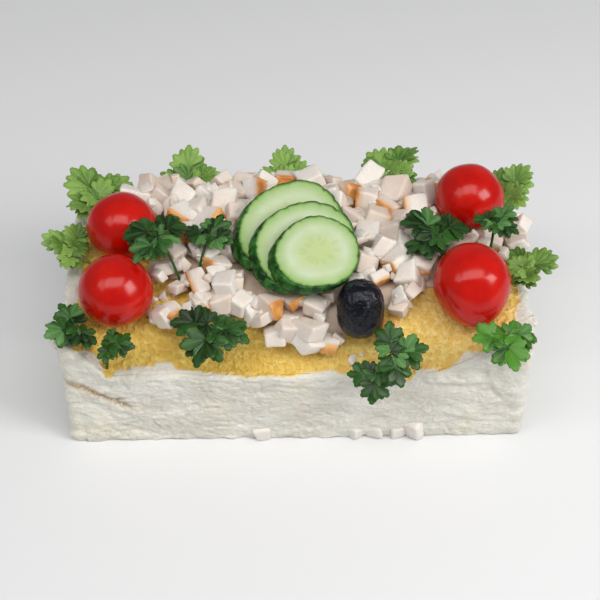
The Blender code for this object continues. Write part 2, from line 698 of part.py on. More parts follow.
def build_chicken(loaf, spread, toppings, collection, dice, material):
    """The heap of diced chicken, whose dice stay clear of every other topping."""
    core = build_core(spread, collection, material)
    trees = [tree_of(thing) for thing in toppings]
    ground = [tree_of(loaf), tree_of(spread)]
    centres = [(Vector(centre), radius) for _, centre, radius, _, _ in TOMATOES]
    centres.append((Vector(OLIVE_CENTRE), OLIVE_RADIUS))
    places, rng = dice_places()
    for place, lift in places:
        sizes = [rng.uniform(DICE_SMALL, DICE_LARGE) for _ in range(3)]
        sizes[2] *= DICE_FLATNESS
        turns = (rng.uniform(-DICE_TILT, DICE_TILT), rng.uniform(-DICE_TILT, DICE_TILT), rng.uniform(0, 90))
        height = cake_top(place.x, place.y) + CORE_THICKNESS + sizes[2] * DICE_RISE + lift
        for shrink in DICE_SHRINKS:
            trial = [size * shrink for size in sizes]
            centre = Vector((place.x, place.y, height - (1 - shrink) * sizes[2] * SHRINK_DROP))
            die = add_die(dice, centre, trial, turns, DICE_JITTER, rng)
            lift_onto_cake(die, ground)
            if not hits(die, trees, centres):
                break
            bpy.data.objects.remove(die, do_unlink=True)
    return core


def main():
    """Build the whole cake."""
    clear_scene()
    cake = make_collection("sandwich_cake")
    loaf_dice = make_collection("loaf_dice")
    dice = make_collection("dice")
    loaf = build_loaf(cake, loaf_dice, make_material("cream", CREAM))
    spread = build_spread(cake, make_material("yellow", YELLOW))
    red = make_material("red", RED)
    tomatoes = [build_tomato(*tomato, cake, red) for tomato in TOMATOES]
    olive = build_olive(cake, make_material("black", BLACK))
    cucumber = make_material("cucumber", CUCUMBER)
    slices = [build_slice(number, *row, cake, cucumber) for number, row in enumerate(SLICES)]
    green = make_material("green", GREEN)
    sprigs = [build_sprig(number, *row, cake, green) for number, row in enumerate(SPRIGS)]
    chicken_material = make_material("chicken", CHICKEN)
    toppings = tomatoes + [olive] + slices + sprigs
    chicken = build_chicken(loaf, spread, toppings, cake, dice, chicken_material)
    cut_seats(chicken, tomatoes + [olive])
    cut_seats(spread, tomatoes + [olive])
    fuse(chicken, dice, "MANIFOLD")


main()
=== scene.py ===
"""Sandwich cake: a loaf coated in cream, topped with egg, chicken, cucumber, tomatoes, olive and parsley.

Every piece stands where its solid stands. In metres: X runs along the cake, Y to its back and Z up.
"""
import math
import random
from functools import partial

import bpy
import numpy as np
from mathutils import Matrix, Vector, noise
from mathutils.bvhtree import BVHTree


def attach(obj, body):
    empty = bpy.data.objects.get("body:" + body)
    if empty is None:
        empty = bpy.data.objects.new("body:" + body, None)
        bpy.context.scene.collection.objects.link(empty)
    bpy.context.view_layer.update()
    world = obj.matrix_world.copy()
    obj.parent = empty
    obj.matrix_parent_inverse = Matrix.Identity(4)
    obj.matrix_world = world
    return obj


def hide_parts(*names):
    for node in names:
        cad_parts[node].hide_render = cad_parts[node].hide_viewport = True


MM = 0.001

CAMERA_ELEVATION = 41.8
CAMERA_DISTANCE = 0.672
CAMERA_YAW = -1.05
CAMERA_TARGET = (0.0023, 0.0044, 0.03)
CAMERA_LENS = 86.94
SENSOR_WIDTH = 36.0

# Lights: name, place, width, height, watts and colour
LIGHTS = (
    ("over_the_camera", (0.0, -0.50, 1.20), 1.20, 0.60, 8.4, "#fffcf7"),
    ("right_window", (0.72, -0.42, 0.62), 0.45, 0.45, 5.4, "#fffdfa"),
    ("left_window", (-0.80, -0.45, 0.95), 0.60, 0.50, 2.4, "#fffdfa"),
)
LIGHTS_AIM = (0, 0, 0.05)
DAYLIGHT = 0.28
FLOOR_REACH = 3.0

# The coated loaf
LENGTH = 0.200
DEPTH = 0.110
FRONT_RIM = 0.040
BACK_RIM = 0.050
END_RIM = 0.058
CORNER_RADIUS = 0.007
FLARE = 0.0012
FOOT_INSET = 0.0010
CORNER_FILL = 0.0018
END_RAGGEDNESS = 0.0009
GAP = 0.0003
RIM_WIDTH = 0.0038
END_RIM_WIDTH = 0.0070
RIM_ROUND = 0.0013
LEFT_RISE_START = 0.078
RIGHT_RISE_START = 0.055
RISE_END = 0.098
COAT_STEP = 0.00062
WALL_STEPS = 72
RIM_STEPS = 7
COAT_UNDERSIDE = 0.006
FOOT_HEIGHT = 0.0012
RIM_SUNK = 0.0012
SMEAR_STARTS = {"left": 0.72, "right": 0.42}
SMEAR_SPAN = 0.3

# The spread
SEAT_TOP = 0.050
SEAT_FLOOR = SEAT_TOP - 0.014
CROWN = 0.064
CROWN_DROP_AT_ENDS = 0.006
FRONT_CURVE = 0.036
BACK_CURVE = 0.014
BACK_EDGE = 0.052
FRONT_ROUNDNESS = 1.9
BACK_ROUNDNESS = 2.0
SPREAD_STEP = 0.0009
SPREAD_SKIRT = 0.004
SKIRT_INSET = (0.98, 0.95)
SKIRT_FOOT = 0.036
SPREAD_LIP = -0.0006
UNDER_FRONT_RIM = 0.0016
UNDER_END_RIM = 0.0016
UNDER_BACK_RIM = 0.0016
LIP_DROP = 0.0024
BACK_DROP = 0.0032
LIP_ROUND = 0.0030
LIP_LIFT = 0.0005

# Where the spread's lower edge runs along the front, as x and height on the front wall, in millimetres
EGG_EDGE = (
    (-110, 60), (-98.6, 56.3), (-88.9, 57.3), (-84.5, 51.0), (-81.8, 40.8), (-79.5, 40.6), (-76.5, 45.3),
    (-62.4, 46.3), (-60.2, 48.6), (-53.8, 49.1), (-51.9, 44.9), (-43.5, 43.6), (-22.3, 40.0), (1.3, 40.9),
    (14.1, 43.7), (20.5, 40.6), (35.5, 42.1), (41.8, 43.2), (46.2, 36.4), (49.5, 36.4), (51.7, 43.0),
    (61.2, 42.3), (65.3, 44.0), (69.3, 47.5), (71.5, 52.2), (81.1, 54.3), (85.2, 60.1), (110, 66),
)
EGG_REACH = 0.0945
VIEW_SLOPE = math.tan(math.radians(CAMERA_ELEVATION))
FRONT_WALL_Y = -0.056

# Marks of the palette knife on the front wall, in millimetres: route in x and height, half width and relief
KNIFE_MARKS = (
    (((-95.6, 36.7), (-86.4, 30.4), (-79.0, 25.9), (-69.9, 20.1)), 1.0, -0.9),
    (((-96.0, 33.5), (-86.0, 27.6), (-77.0, 22.6), (-68.0, 18.0)), 2.6, 0.7),
    (((-97.0, 55.5), (-91.0, 50.5), (-84.0, 43.0)), 2.2, 0.6),
    (((-79.6, 43.0), (-69.2, 39.2), (-56.3, 41.2), (-24.5, 35.4)), 0.9, -0.45),
    (((52.2, 34.6), (61.7, 33.8), (72.6, 33.0), (82.2, 32.2), (90.4, 22.7)), 1.4, -0.85),
    (((54.0, 37.8), (66.0, 37.2), (80.0, 36.4)), 2.6, 0.55),
    (((80.5, 51.4), (82.6, 42.5), (84.9, 35.2), (88.3, 27.1)), 1.2, 0.5),
    (((86.5, 50.0), (88.5, 40.0), (93.0, 30.0), (94.5, 20.0)), 4.2, 0.85),
    (((-92.0, 25.0), (-90.0, 14.0), (-84.0, 7.0)), 3.4, 0.75),
    (((-84.0, 21.0), (-78.0, 11.0), (-60.0, 3.0)), 1.3, -0.45),
    (((70.0, 11.0), (84.0, 9.5), (98.0, 9.0)), 1.0, -0.5),
)
CREASE = ((-97.0, 37.6), (-86.4, 31.0), (-79.0, 26.6), (-69.9, 20.7))
CREASE_WIDTH = 1.8

# Cream lumps that the knife left on the ends, half sunk in the coat: place and size
CREAM_LUMPS = (
    ((-0.1008, -0.0490, 0.0560), 0.0040),
    ((-0.1010, -0.0440, 0.0575), 0.0028),
    ((0.1012, -0.0400, 0.0560), 0.0028),
    ((0.1010, -0.0280, 0.0500), 0.0024),
)

# Tomatoes: node, centre, half sizes across and along, tilt and heading of the long axis
TOMATOES = (
    ("cherry_tomato_back_left", (-0.0766, 0.0065, 0.0735), 0.0157, 0.0150, (0, 0)),
    ("cherry_tomato_front_left", (-0.0768, -0.0322, 0.0695), 0.0160, 0.0156, (0, 0)),
    ("cherry_tomato_back_right", (0.0792, 0.0210, 0.0762), 0.0157, 0.0152, (0, 0)),
    ("cherry_tomato_front_right", (0.0752, -0.0335, 0.0710), 0.0168, 0.0184, (128, 8)),
)
TOMATO_TAPER = 0.16
ROUND_TOMATO_TAPER = 0.04
TOMATO_GRID = (72, 44)
# Hollows in the spread: radius and depth under the tilted tomato, more radius under the olive, gap at all
TILTED_TOMATO_HOLLOW = (0.0174, 0.0170)
OLIVE_HOLLOW = 0.0012
HOLLOW_GAP = 0.0008

OLIVE_CENTRE = (0.0272, -0.0414, 0.0654)
OLIVE_RADIUS = 0.0103
OLIVE_HALF_LENGTH = 0.0130
OLIVE_LEAN = 16
OLIVE_BLUNTNESS = 2.4
OLIVE_GRID = (160, 100)
# Wrinkles of the olive: how close round it, how close along it and their depth in millimetres
OLIVE_WRINKLES = ((3.6, 2.8, 0.55), (8, 7, 0.26), (17, 15, 0.12))
OLIVE_SCAR = 0.6

# Cucumber slices
SLICE_THICKNESS = 0.0042
SLICE_LEAN_FORWARD = 14
SLICE_LEAN_RIGHT = 6
SLICE_LONG_AXIS_TURN = 56
SLICE_BIAS = 35
SLICE_BIAS_TURN = -30
SLICE_BACK_CENTRE = (-0.0025, -0.0010, 0.0780)
SLICES = (
    ("cucumber_slice_back", (0.0012, 0.0010), 0.0270, 0.0218),
    ("cucumber_slice_middle", (0.0064, -0.0115), 0.0250, 0.0200),
    ("cucumber_slice_front", (0.0116, -0.0190), 0.0198, 0.0178),
)
SLICE_LUMPS = ((3, 0.018), (5, 0.012))
SLICE_SEGMENTS = 144
SLICE_RINGS = 30
RIND_ROWS = 5
UNDERSIDE_RINGS = (0.97, 0.7, 0.4, 0.15)
FLESH_REACH = 0.985
SLICE_NOTCH = 0.014
SLICE_RIDGE = 0.024
SLICE_RIDGES = 8.5
SLICE_BULGE = 0.012
SLICE_EDGE_ROUND = 0.008
SLICE_DROOP = 0.00025
RIND_STARTS = 0.925
SEED_COUNT = 13
SEED_PLACES = (0.26, 0.48)
SEED_HALF_WIDTH = 0.055
SEED_HALF_LENGTH = 0.11

# Chicken
CORE_THICKNESS = 0.0028
CORE_STEP = 0.0018
CORE_MARGIN = 0.0065
# Painted shade: the core shows only in the gaps between the dice, and this share of browning darkens it there
CORE_GAP_SHADE = 0.32
DICE_PITCH = 0.0110
DICE_ROW_PITCH = 0.87 * DICE_PITCH
DICE_SHIFT = 0.0022
DICE_LIFT = 0.0024
DICE_SEED = 25
DICE_SMALL = 0.0084
DICE_LARGE = 0.0124
DICE_TILT = 32
DICE_RISE = 0.30
DICE_SHRINKS = (1.0, 0.8, 0.62)
SHRINK_DROP = 0.4
DICE_CLEARANCE = 1.06
# The four kinds of dice: whole, half size, scraps and those at the heap's front
DIE_SIZES = ((DICE_SMALL, DICE_LARGE), (0.0046, 0.0080), (0.0032, 0.0056), (0.0068, 0.0098))
WHOLE, HALF, SCRAP, FRONT = range(4)
DIE_UNEVENNESS = 0.16
# The layers of dice: their kind, how far their rows are shifted, and how high they may lie
DICE_LAYERS = ((WHOLE, 0.0, DICE_LIFT), (HALF, 0.42, 0.0052), (SCRAP, 0.18, 0.0066))
DIE_FLATNESS = 0.86
HEAP_LEFT = -0.062
HEAP_LEFT_BACK = -0.078
HEAP_LEFT_STEP = 0.022
HEAP_RIGHT = 0.1015
HEAP_BACK = 0.0500
HEAP_FRONT = -0.024
HEAP_BULGE = 0.026
HEAP_BULGE_AT = 0.012
HEAP_BULGE_WIDTH = 0.042
HEAP_STEP = 0.064
HEAP_STEP_FRONT = -0.010
# Dice along the front and the right edge of the heap, beside its seeded rows
STRAY_DICE = (
    (-0.0600, -0.0375), (-0.0530, -0.0380), (-0.0455, -0.0365), (-0.0385, -0.0345), (-0.0320, -0.0330),
    (0.0050, -0.0485), (-0.0040, -0.0455), (0.0400, -0.0425),
    (0.0925, -0.0030), (0.0990, 0.0030), (0.1010, 0.0110), (0.0985, 0.0190),
)
STRAY_SCALE = 0.86
# Dice that fill the heap's front between the parsley and the cucumber
FRONT_DICE = (
    (-0.0140, -0.0405), (-0.0235, -0.0345), (-0.0180, -0.0370), (-0.0405, -0.0330), (-0.0565, -0.0395),
    (-0.0090, -0.0460), (-0.0300, -0.0290), (0.0450, -0.0330), (0.0500, -0.0270),
)
# Dice stuck to the foot of the front wall: place along it, size and turn
FOOT_DICE = (
    (-0.0156, 0.0090, 12), (0.0267, 0.0075, 35), (0.0350, 0.0080, -20), (0.0450, 0.0075, 15),
    (0.0520, 0.0110, -35),
)
FOOT_DIE_SHAPE = (1.0, 0.8, 0.9)
FOOT_DIE_INSET = 0.18
FOOT_DIE_RISE = 0.42
FOOT_DIE_SCALE = 0.88
FOOT_DIE_ROUNDING = 0.22
FOOT_DIE_SKEW = 0.12
FOOT_DIE_TILT = (8, -6)

# Where a die's faces are divided, as shares of its edge, and how far its corners stand out of true
DIE_LINES = (-0.5, -0.44, -0.36, -0.13, 0.13, 0.36, 0.44, 0.5)
BIT_LINES = (-0.5, -0.40, 0.0, 0.40, 0.5)
DIE_ROUNDING = 0.13
DIE_SKEW = 0.17
DIE_FIBRE = 0.12
DIE_DENT = 0.60

CRUMB_TRIES = 16
CRUMB_ENDS = (-0.062, 0.030)
CRUMB_FRONT = -0.0505
CRUMB_SIZES = (0.0012, 0.0032)
CRUMB_SKEW = 0.2

# Where dice show browned skin, in millimetres
SKIN_SPOTS = (
    (-31, 47), (-17, 45), (-51, 20), (-36, 14), (-42, 7), (-18, 29), (24, 33), (28, 26), (42, 20), (43, 11),
    (56, 26), (62, 43), (44, -18), (42, -27), (57, -26), (-40, -25), (-36, -29), (-29, -19), (-26, -23),
    (-22, -26), (-49, -38), (2, -38), (16, -41), (20, -45), (-15, -36), (-12, -42), (41, -37), (90, -1),
    (93, -8), (89, 22), (4, 44), (74, 40),
)
SKIN_SPOT_REACH = 0.0075
SKIN_DEPTH = (0.2, 2.4)

# Parsley: node, hub, heading, rise, roll, reach, stem length and kind of leaf
SPRIGS = (
    ("parsley_sprig_back_left_corner", (-0.0890, 0.0340, 0.0670), 48, 24, 0, 0.0210, 0.010, "young"),
    ("parsley_sprig_left_edge", (-0.0975, -0.0010, 0.0668), 86, 18, -8, 0.0155, 0.006, "young"),
    ("parsley_sprig_back_left", (-0.0487, 0.0505, 0.0645), 4, 20, 0, 0.0180, 0.007, "young"),
    ("parsley_sprig_back_middle", (-0.0030, 0.0512, 0.0650), 4, 24, 0, 0.0165, 0.007, "young"),
    ("parsley_sprig_back_right", (0.0450, 0.0515, 0.0675), -50, 22, 0, 0.0190, 0.006, "young"),
    ("parsley_sprig_right_back_corner", (0.0975, 0.0360, 0.0670), -62, 26, 0, 0.0175, 0.008, "young"),
    ("parsley_sprig_right_edge", (0.0990, -0.0165, 0.0650), -92, 18, 6, 0.0165, 0.006, "young"),
    ("parsley_sprig_front_left_corner", (-0.0920, -0.0485, 0.0645), 124, 4, -6, 0.0157, 0.001, "grown"),
    ("parsley_sprig_front_left_inner", (-0.0785, -0.0568, 0.0612), 258, 2, 10, 0.0115, 0.003, "grown"),
    ("parsley_sprig_left_middle", (-0.0572, -0.0180, 0.0860), 58, 0, 0, 0.0195, 0.010, "grown"),
    ("parsley_sprig_left_middle_small", (-0.0380, -0.0105, 0.0800), -30, 8, 0, 0.0145, 0.010, "grown"),
    ("parsley_sprig_front_left_middle", (-0.0360, -0.0470, 0.0625), 165, -22, 0, 0.0205, 0.006, "grown"),
    ("parsley_sprig_front_right_upper", (0.0390, -0.0612, 0.0572), -82, 4, 34, 0.0166, 0.004, "grown"),
    ("parsley_sprig_front_right_lower", (0.0325, -0.0630, 0.0490), 178, -42, 0, 0.0140, 0.004, "grown"),
    ("parsley_sprig_between_right_tomatoes", (0.0625, -0.0115, 0.0805), 42, 4, 0, 0.0205, 0.004, "grown"),
    ("parsley_sprig_over_right_tomatoes", (0.0858, -0.0125, 0.0872), -40, 4, 0, 0.0135, 0.003, "grown"),
    ("parsley_sprig_right_front_corner", (0.0870, -0.0570, 0.0640), 188, -22, 0, 0.0175, 0.004, "bright"),
)
STEM_INSET = 0.004
# A sprig's three stalks: turn from the tip, share of the reach and droop
STALKS = ((0, 1.00, 0.10), (82, 0.86, -0.12), (-82, 0.86, 0.16))
# The leaflets on a stalk: place along it, turn, and length as a share of the stalk
LEAFLETS = ((0.42, 0, 0.62), (0.36, 50, 0.60), (0.36, -50, 0.60), (0.10, 70, 0.50), (0.10, -70, 0.50))
# Lobes of a leaflet: direction, reach and half width in degrees. Then how deep the clefts and notches are
LEAF_SHAPES = {
    "grown": (((-43, 0.84, 24), (0, 1.00, 25), (43, 0.84, 24)), 0.40, 0.10),
    "bright": (((-45, 0.82, 24), (0, 1.00, 26), (45, 0.82, 24)), 0.38, 0.10),
    "young": (((-52, 0.74, 19), (-26, 0.92, 17), (0, 1.00, 18), (26, 0.92, 17), (52, 0.74, 19)), 0.60, 0.07),
}
LEAF_SPAN = 68
LEAF_THICKNESS = 0.00032
LEAF_COLUMNS = 60
LEAF_ROWS = 6
LEAF_LEAN = 26
LEAF_PITCH = 18
YOUNG_LIFT = 16
LEAF_SWING = 9
LEAF_SIZES = (0.89, 0.98)
LEAF_FOLD = 0.016
LEAF_RIB = 0.012
LEAF_CURL = 0.06
LEAF_DROOP = 0.16
FLIPPED_SHARE = 0.16
STEM_RADIUS = 0.00062
STALK_RADIUS = 0.00036
STALK_PLACES = (0.0, 0.16, 0.42, 0.5)
STEM_SIDES = 8


def linear(colour):
    """An sRGB hex colour as linear red, green, blue and alpha."""
    channels = [int(colour[at:at + 2], 16) / 255 for at in (1, 3, 5)]
    return (*[c / 12.92 if c <= 0.04045 else ((c + 0.055) / 1.055) ** 2.4 for c in channels], 1.0)


def join(node, links):
    """Give each input of a node its number, its hex colour or the output that feeds it."""
    for socket, value in links.items():
        if isinstance(value, bpy.types.NodeSocket):
            node.id_data.links.new(value, node.inputs[socket])
        else:
            node.inputs[socket].default_value = linear(value) if isinstance(value, str) else value


def add_node(tree, kind, links=None, take=0, **settings):
    """Add a node with its settings and links, and take one of its outputs.

    A Map Range runs from 1 to 2 and gives 3 to 4. A Mix has its share at 0 and its colours at 6 and 7.
    """
    node = tree.nodes.new("ShaderNode" + kind)
    for name, value in settings.items():
        setattr(node, name, value)
    join(node, links or {})
    return node.outputs[take]


def new_material(name):
    """A material: also its shader, the place on the object in metres and the function that adds its nodes."""
    material = bpy.data.materials.new(name)
    material.use_nodes = True
    add = partial(add_node, material.node_tree)
    return material, material.node_tree.nodes["Principled BSDF"], add("TexCoord", take="Object"), add


def each(size):
    """The scale of a pattern whose marks are this many millimetres in size."""
    return 1 / (size * MM)


def smooth_step(value, start, end):
    """From 0 at the start to 1 at the end, without a kink."""
    share = min(max((value - start) / (end - start), 0.0), 1.0)
    return share * share * (3 - 2 * share)


def rough(x, y, z, seed=0.0):
    """Smooth noise between about -1 and 1. Callers scale the place to cells a metre. The seed moves it."""
    return noise.noise(Vector((x + seed * 17.3, y - seed * 9.1, z + seed * 5.7)))


def rim_height(x, y):
    """The height of the coating's upper edge: low along the front, high at both ends."""
    start = LEFT_RISE_START if x < 0 else RIGHT_RISE_START
    base = FRONT_RIM if y < 0 else BACK_RIM
    height = base + (END_RIM - base) * smooth_step(abs(x), start, RISE_END)
    return height + 0.0012 * noise.noise(Vector((x * 60, y * 60, 3.0)))


def spread_height(x, y):
    """The height of the spread's dome."""
    half_length = LENGTH / 2 - END_RIM_WIDTH
    half_depth = DEPTH / 2 - RIM_WIDTH
    crown = CROWN - CROWN_DROP_AT_ENDS * min(abs(x) / half_length, 1.0) ** 4
    front_share = min(max((y + half_depth) / FRONT_CURVE, 0.0), 1.0)
    back_share = min(max((half_depth - y) / BACK_CURVE, 0.0), 1.0)
    front = rim_height(x, -1.0)
    front_height = front + (crown - front) * (1 - (1 - front_share) ** FRONT_ROUNDNESS)
    back_height = BACK_EDGE + (crown - BACK_EDGE) * (1 - (1 - back_share) ** BACK_ROUNDNESS)
    return min(front_height, back_height) + 0.0008 * noise.noise(Vector((x * 70, y * 70, 9.0)))


def cake_top(x, y):
    """The height of what the toppings lie on: the spread, or the rim round it."""
    inside = abs(x) < LENGTH / 2 - END_RIM_WIDTH and abs(y) < DEPTH / 2 - RIM_WIDTH
    return spread_height(x, y) if inside else rim_height(x, y)


def egg_share(x, y, z):
    """How much a point near the front is egg rather than cream, by where it shows on the front wall."""
    seen_height = (z + (y - FRONT_WALL_Y) * VIEW_SLOPE) / MM
    edge = float(np.interp(x / MM, *zip(*EGG_EDGE)))
    edge += 1.1 * rough(x * 260, 0, 0, 2.0) + 0.6 * rough(x * 800, z * 400, 0, 3.0)
    inside = EGG_REACH + 0.0012 * rough(0, y * 160, z * 160, 16.0) - abs(x)
    return smooth_step(seen_height - edge, -0.35, 0.35) * smooth_step(inside, -0.0004, 0.0004)


def make_piece(name, points, faces, materials, nodes, marks=None, slots=None):
    """A mesh piece that rides on the cake, with its finish and the solids that it stands for."""
    mesh = bpy.data.meshes.new(name)
    mesh.from_pydata([tuple(point) for point in points], [], [tuple(face) for face in faces])
    for material in materials:
        mesh.materials.append(material)
    if slots is not None:
        mesh.polygons.foreach_set("material_index", np.array(slots, dtype=np.int32))
    for key, values in (marks or {}).items():
        layer = mesh.attributes.new(key, "FLOAT", "POINT")
        layer.data.foreach_set("value", np.array(values, dtype=np.float32))
    mesh.validate()
    mesh.update()
    mesh.shade_smooth()
    piece = bpy.data.objects.new(name, mesh)
    bpy.context.scene.collection.objects.link(piece)
    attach(piece, "root")
    if nodes:
        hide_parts(*nodes)


def ring_faces(rings, count):
    """Quads between rings of points that run the same way round, each ring count points long."""
    faces = []
    for ring in range(rings - 1):
        for at in range(count):
            after = (at + 1) % count
            low, high = ring * count, (ring + 1) * count
            faces.append((low + at, low + after, high + after, high + at))
    return faces


def fan_faces(start, count, centre, turned):
    """Triangles from a ring of points, count points long, to a centre, facing the other way if turned."""
    fan = []
    for at in range(count):
        first, second = start + at, start + (at + 1) % count
        fan.append((second, first, centre) if turned else (first, second, centre))
    return fan


def grid_faces(columns, rows):
    """Quads of a grid of points that run row by row."""
    wide = columns + 1
    lows = [row * wide + column for row in range(rows) for column in range(columns)]
    return [(low, low + 1, low + wide + 1, low + wide) for low in lows]


def grid_edge(columns, rows):
    """The points round the edge of such a grid, from its first corner along its first row."""
    wide = columns + 1
    edge = list(range(columns))
    edge += [row * wide + columns for row in range(rows)]
    edge += [rows * wide + column for column in range(columns, 0, -1)]
    edge += [row * wide for row in range(rows, 0, -1)]
    return edge


def gather(points, faces, made, made_faces):
    """Add one closed form to the points and faces of a piece."""
    base = len(points)
    points += made
    faces += [tuple(base + at for at in face) for face in made_faces]


def route_distance(x, z, route):
    """The distance in millimetres from a point of the wall to a route, and how far along the route it is."""
    best, best_share, run = 1e9, 0.0, 0
    for (ax, az), (bx, bz) in zip(route, route[1:]):
        dx, dz = bx - ax, bz - az
        share = min(max(((x - ax) * dx + (z - az) * dz) / (dx * dx + dz * dz), 0.0), 1.0)
        distance = math.hypot(x - ax - dx * share, z - az - dz * share)
        if distance < best:
            best, best_share = distance, (run + share) / (len(route) - 1)
        run += 1
    return best, best_share


def knife_relief(run, z):
    """How far the cream stands out of the wall, in metres: broad low dabs, and patches torn by the knife."""
    run += 0.0050 * rough(run * 40, z * 60, 0, 5.0)
    z += 0.0026 * rough(run * 42, z * 60, 0, 9.0)
    broad = rough(run * 18, z * 42, 0, 1.0)
    sweep = rough(run * 46, z * 120, 0, 4.0)
    dab_edge = smooth_step(sweep, -0.02, 0.09)
    torn_patch = smooth_step(rough(run * 34, z * 60, 0, 10.0), -0.15, 0.30)
    torn = rough(run * 470, z * 620, 0, 7.0) + 0.9 * rough(run * 210, z * 380, 0, 6.0)
    flake = smooth_step(rough(run * 150, z * 400, 0, 15.0), 0.10, 0.17)
    pit = min(rough(run * 260, z * 400, 0, 8.0) + 0.26, 0.0)
    relief = 0.65 * broad + 0.30 * sweep + 0.30 * dab_edge + 0.30 * flake
    return (relief + (0.14 + 0.26 * torn_patch) * torn + 1.5 * pit - 0.3) * MM


def front_marks(x, z):
    """What the named knife marks of the front wall add, in metres."""
    total = 0.0
    for route, half_width, depth in KNIFE_MARKS:
        distance, share = route_distance(x / MM, z / MM, route)
        if distance < 3 * half_width:
            fade = smooth_step(share, -0.05, 0.12) * smooth_step(1 - share, -0.05, 0.12)
            total += depth * MM * math.exp(-(distance / half_width) ** 2) * fade
    return total


def plan_outline():
    """Points round the loaf's plan from the left of its front wall: place, way outward and distance run."""
    half_x = LENGTH / 2 - CORNER_RADIUS
    half_y = DEPTH / 2 - CORNER_RADIUS
    corners = ((half_x, -half_y, -90), (half_x, half_y, 0), (-half_x, half_y, 90), (-half_x, -half_y, 180))
    outline, run = [], 0.0
    for (x, y, start), length in zip(corners, (2 * half_x, 2 * half_y) * 2):
        heading = math.radians(start)
        outward = Vector((math.cos(heading), math.sin(heading)))
        along = Vector((-math.sin(heading), math.cos(heading)))
        count = round(length / COAT_STEP)
        for at in range(count):
            back = length * (1 - at / count)
            spot = Vector((x, y)) + outward * CORNER_RADIUS - along * back
            outline.append((spot, outward, run + length - back))
        run += length
        arc = CORNER_RADIUS * math.pi / 2
        count = round(arc / COAT_STEP)
        for at in range(count):
            angle = heading + math.pi / 2 * at / count
            out = Vector((math.cos(angle), math.sin(angle)))
            outline.append((Vector((x, y)) + out * CORNER_RADIUS, out, run + arc * at / count))
        run += arc
    return outline


def coat_column(place, outward, run):
    """One upright strip of the coat, from under the foot, up the wall and over the rim, with its marks."""
    points, egg, crease = [], [], []
    height = rim_height(place.x, place.y)
    sideways = abs(outward.x)
    width = RIM_WIDTH + (END_RIM_WIDTH - RIM_WIDTH) * sideways * sideways
    front = outward.y < -0.5
    corner = (2 * outward.x * outward.y) ** 2

    def put(inset, z, is_egg=None):
        spot = place - outward * inset
        points.append((spot.x, spot.y, max(z, 0.0)))
        near_front = spot.y < -0.040 and is_egg is None
        egg.append(egg_share(spot.x, spot.y, z) if near_front else (is_egg or 0.0))
        bread = 0.0
        if front:
            distance, share = route_distance(spot.x / MM, z / MM, CREASE)
            bread = math.exp(-(distance / CREASE_WIDTH) ** 2) * smooth_step(1.0 - share, 0.0, 0.22)
        crease.append(bread)

    put(COAT_UNDERSIDE, 0.0, 0.0)
    put(FOOT_INSET + FOOT_HEIGHT, 0.0, 0.0)
    for step in range(WALL_STEPS + 1):
        share = step / WALL_STEPS
        z = share * height
        push = FLARE * share + knife_relief(run, z) + CORNER_FILL * corner
        push += END_RAGGEDNESS * sideways * rough(run * 190, z * 260, 0, 17.0)
        if front:
            push += front_marks(place.x, z)
        foot = math.exp(-z / FOOT_HEIGHT)
        push += foot * (0.0012 * rough(run * 170, 0, 0, 11.0) - FOOT_INSET)
        below_top = height - z
        if below_top < RIM_ROUND:
            over = 1 - below_top / RIM_ROUND
            push -= RIM_ROUND * (1 - math.sqrt(max(1 - over * over, 0.0)))
        put(-push, z)
    last = -push
    smear_start = SMEAR_STARTS["right" if place.x > 0 else "left"]
    for step in range(1, RIM_STEPS + 1):
        share = step / RIM_STEPS
        inset = last + (width - last) * share
        lump = 0.55 * rough(run * 150, share * 3, 0, 12.0) + 0.25 * rough(run * 420, share * 6, 0, 13.0)
        ragged = share + 0.5 * rough(run * 90, share * 2, 0, 14.0)
        smear = smooth_step(ragged, smear_start, smear_start + SMEAR_SPAN)
        if front:
            sunk = RIM_SUNK * smooth_step(share, 0.15, 0.8)
        else:
            sunk = 0.75 * RIM_SUNK * smooth_step(share, 0.4, 1.0)
        z = height + lump * MM * math.sin(math.pi * share) + 0.0002 - sunk
        put(inset, z, None if place.y < -0.045 else smear)
    put(width + 0.0003, height - SPREAD_SKIRT, 1.0)
    put(width + 0.0006, SEAT_FLOOR, 1.0)
    return points, egg, crease


def build_coat(materials):
    """The coat of cream on the loaf: one closed skin with knife strokes, lumps and a ragged foot."""
    outline = plan_outline()
    columns = [coat_column(*point) for point in outline]
    count, rows = len(columns), len(columns[0][0])
    points = [points[row] for row in range(rows) for points, _, _ in columns]
    egg = [egg[row] for row in range(rows) for _, egg, _ in columns]
    crease = [crease[row] for row in range(rows) for _, _, crease in columns]
    faces = ring_faces(rows, count)
    for z, ring, turned in ((0.0, 0, True), (SEAT_FLOOR, rows - 1, False)):
        centre = len(points)
        points.append((0.0, 0.0, z))
        egg.append(0.0)
        crease.append(0.0)
        faces += fan_faces(ring * count, count, centre, turned)
    marks = {"egg": egg, "crease": crease}
    make_piece("cream_coat", points, faces, materials, ["cream_loaf"], marks)


def solid_low(x, y, rounds):
    """The lowest height of the round fruit above a point, or None."""
    low = None
    for centre, across, along in rounds:
        reach = across + HOLLOW_GAP
        off = math.hypot(x - centre[0], y - centre[1])
        if off < reach:
            z = centre[2] - along * math.sqrt(1 - (off / reach) ** 2)
            low = z if low is None else min(low, z)
    return low


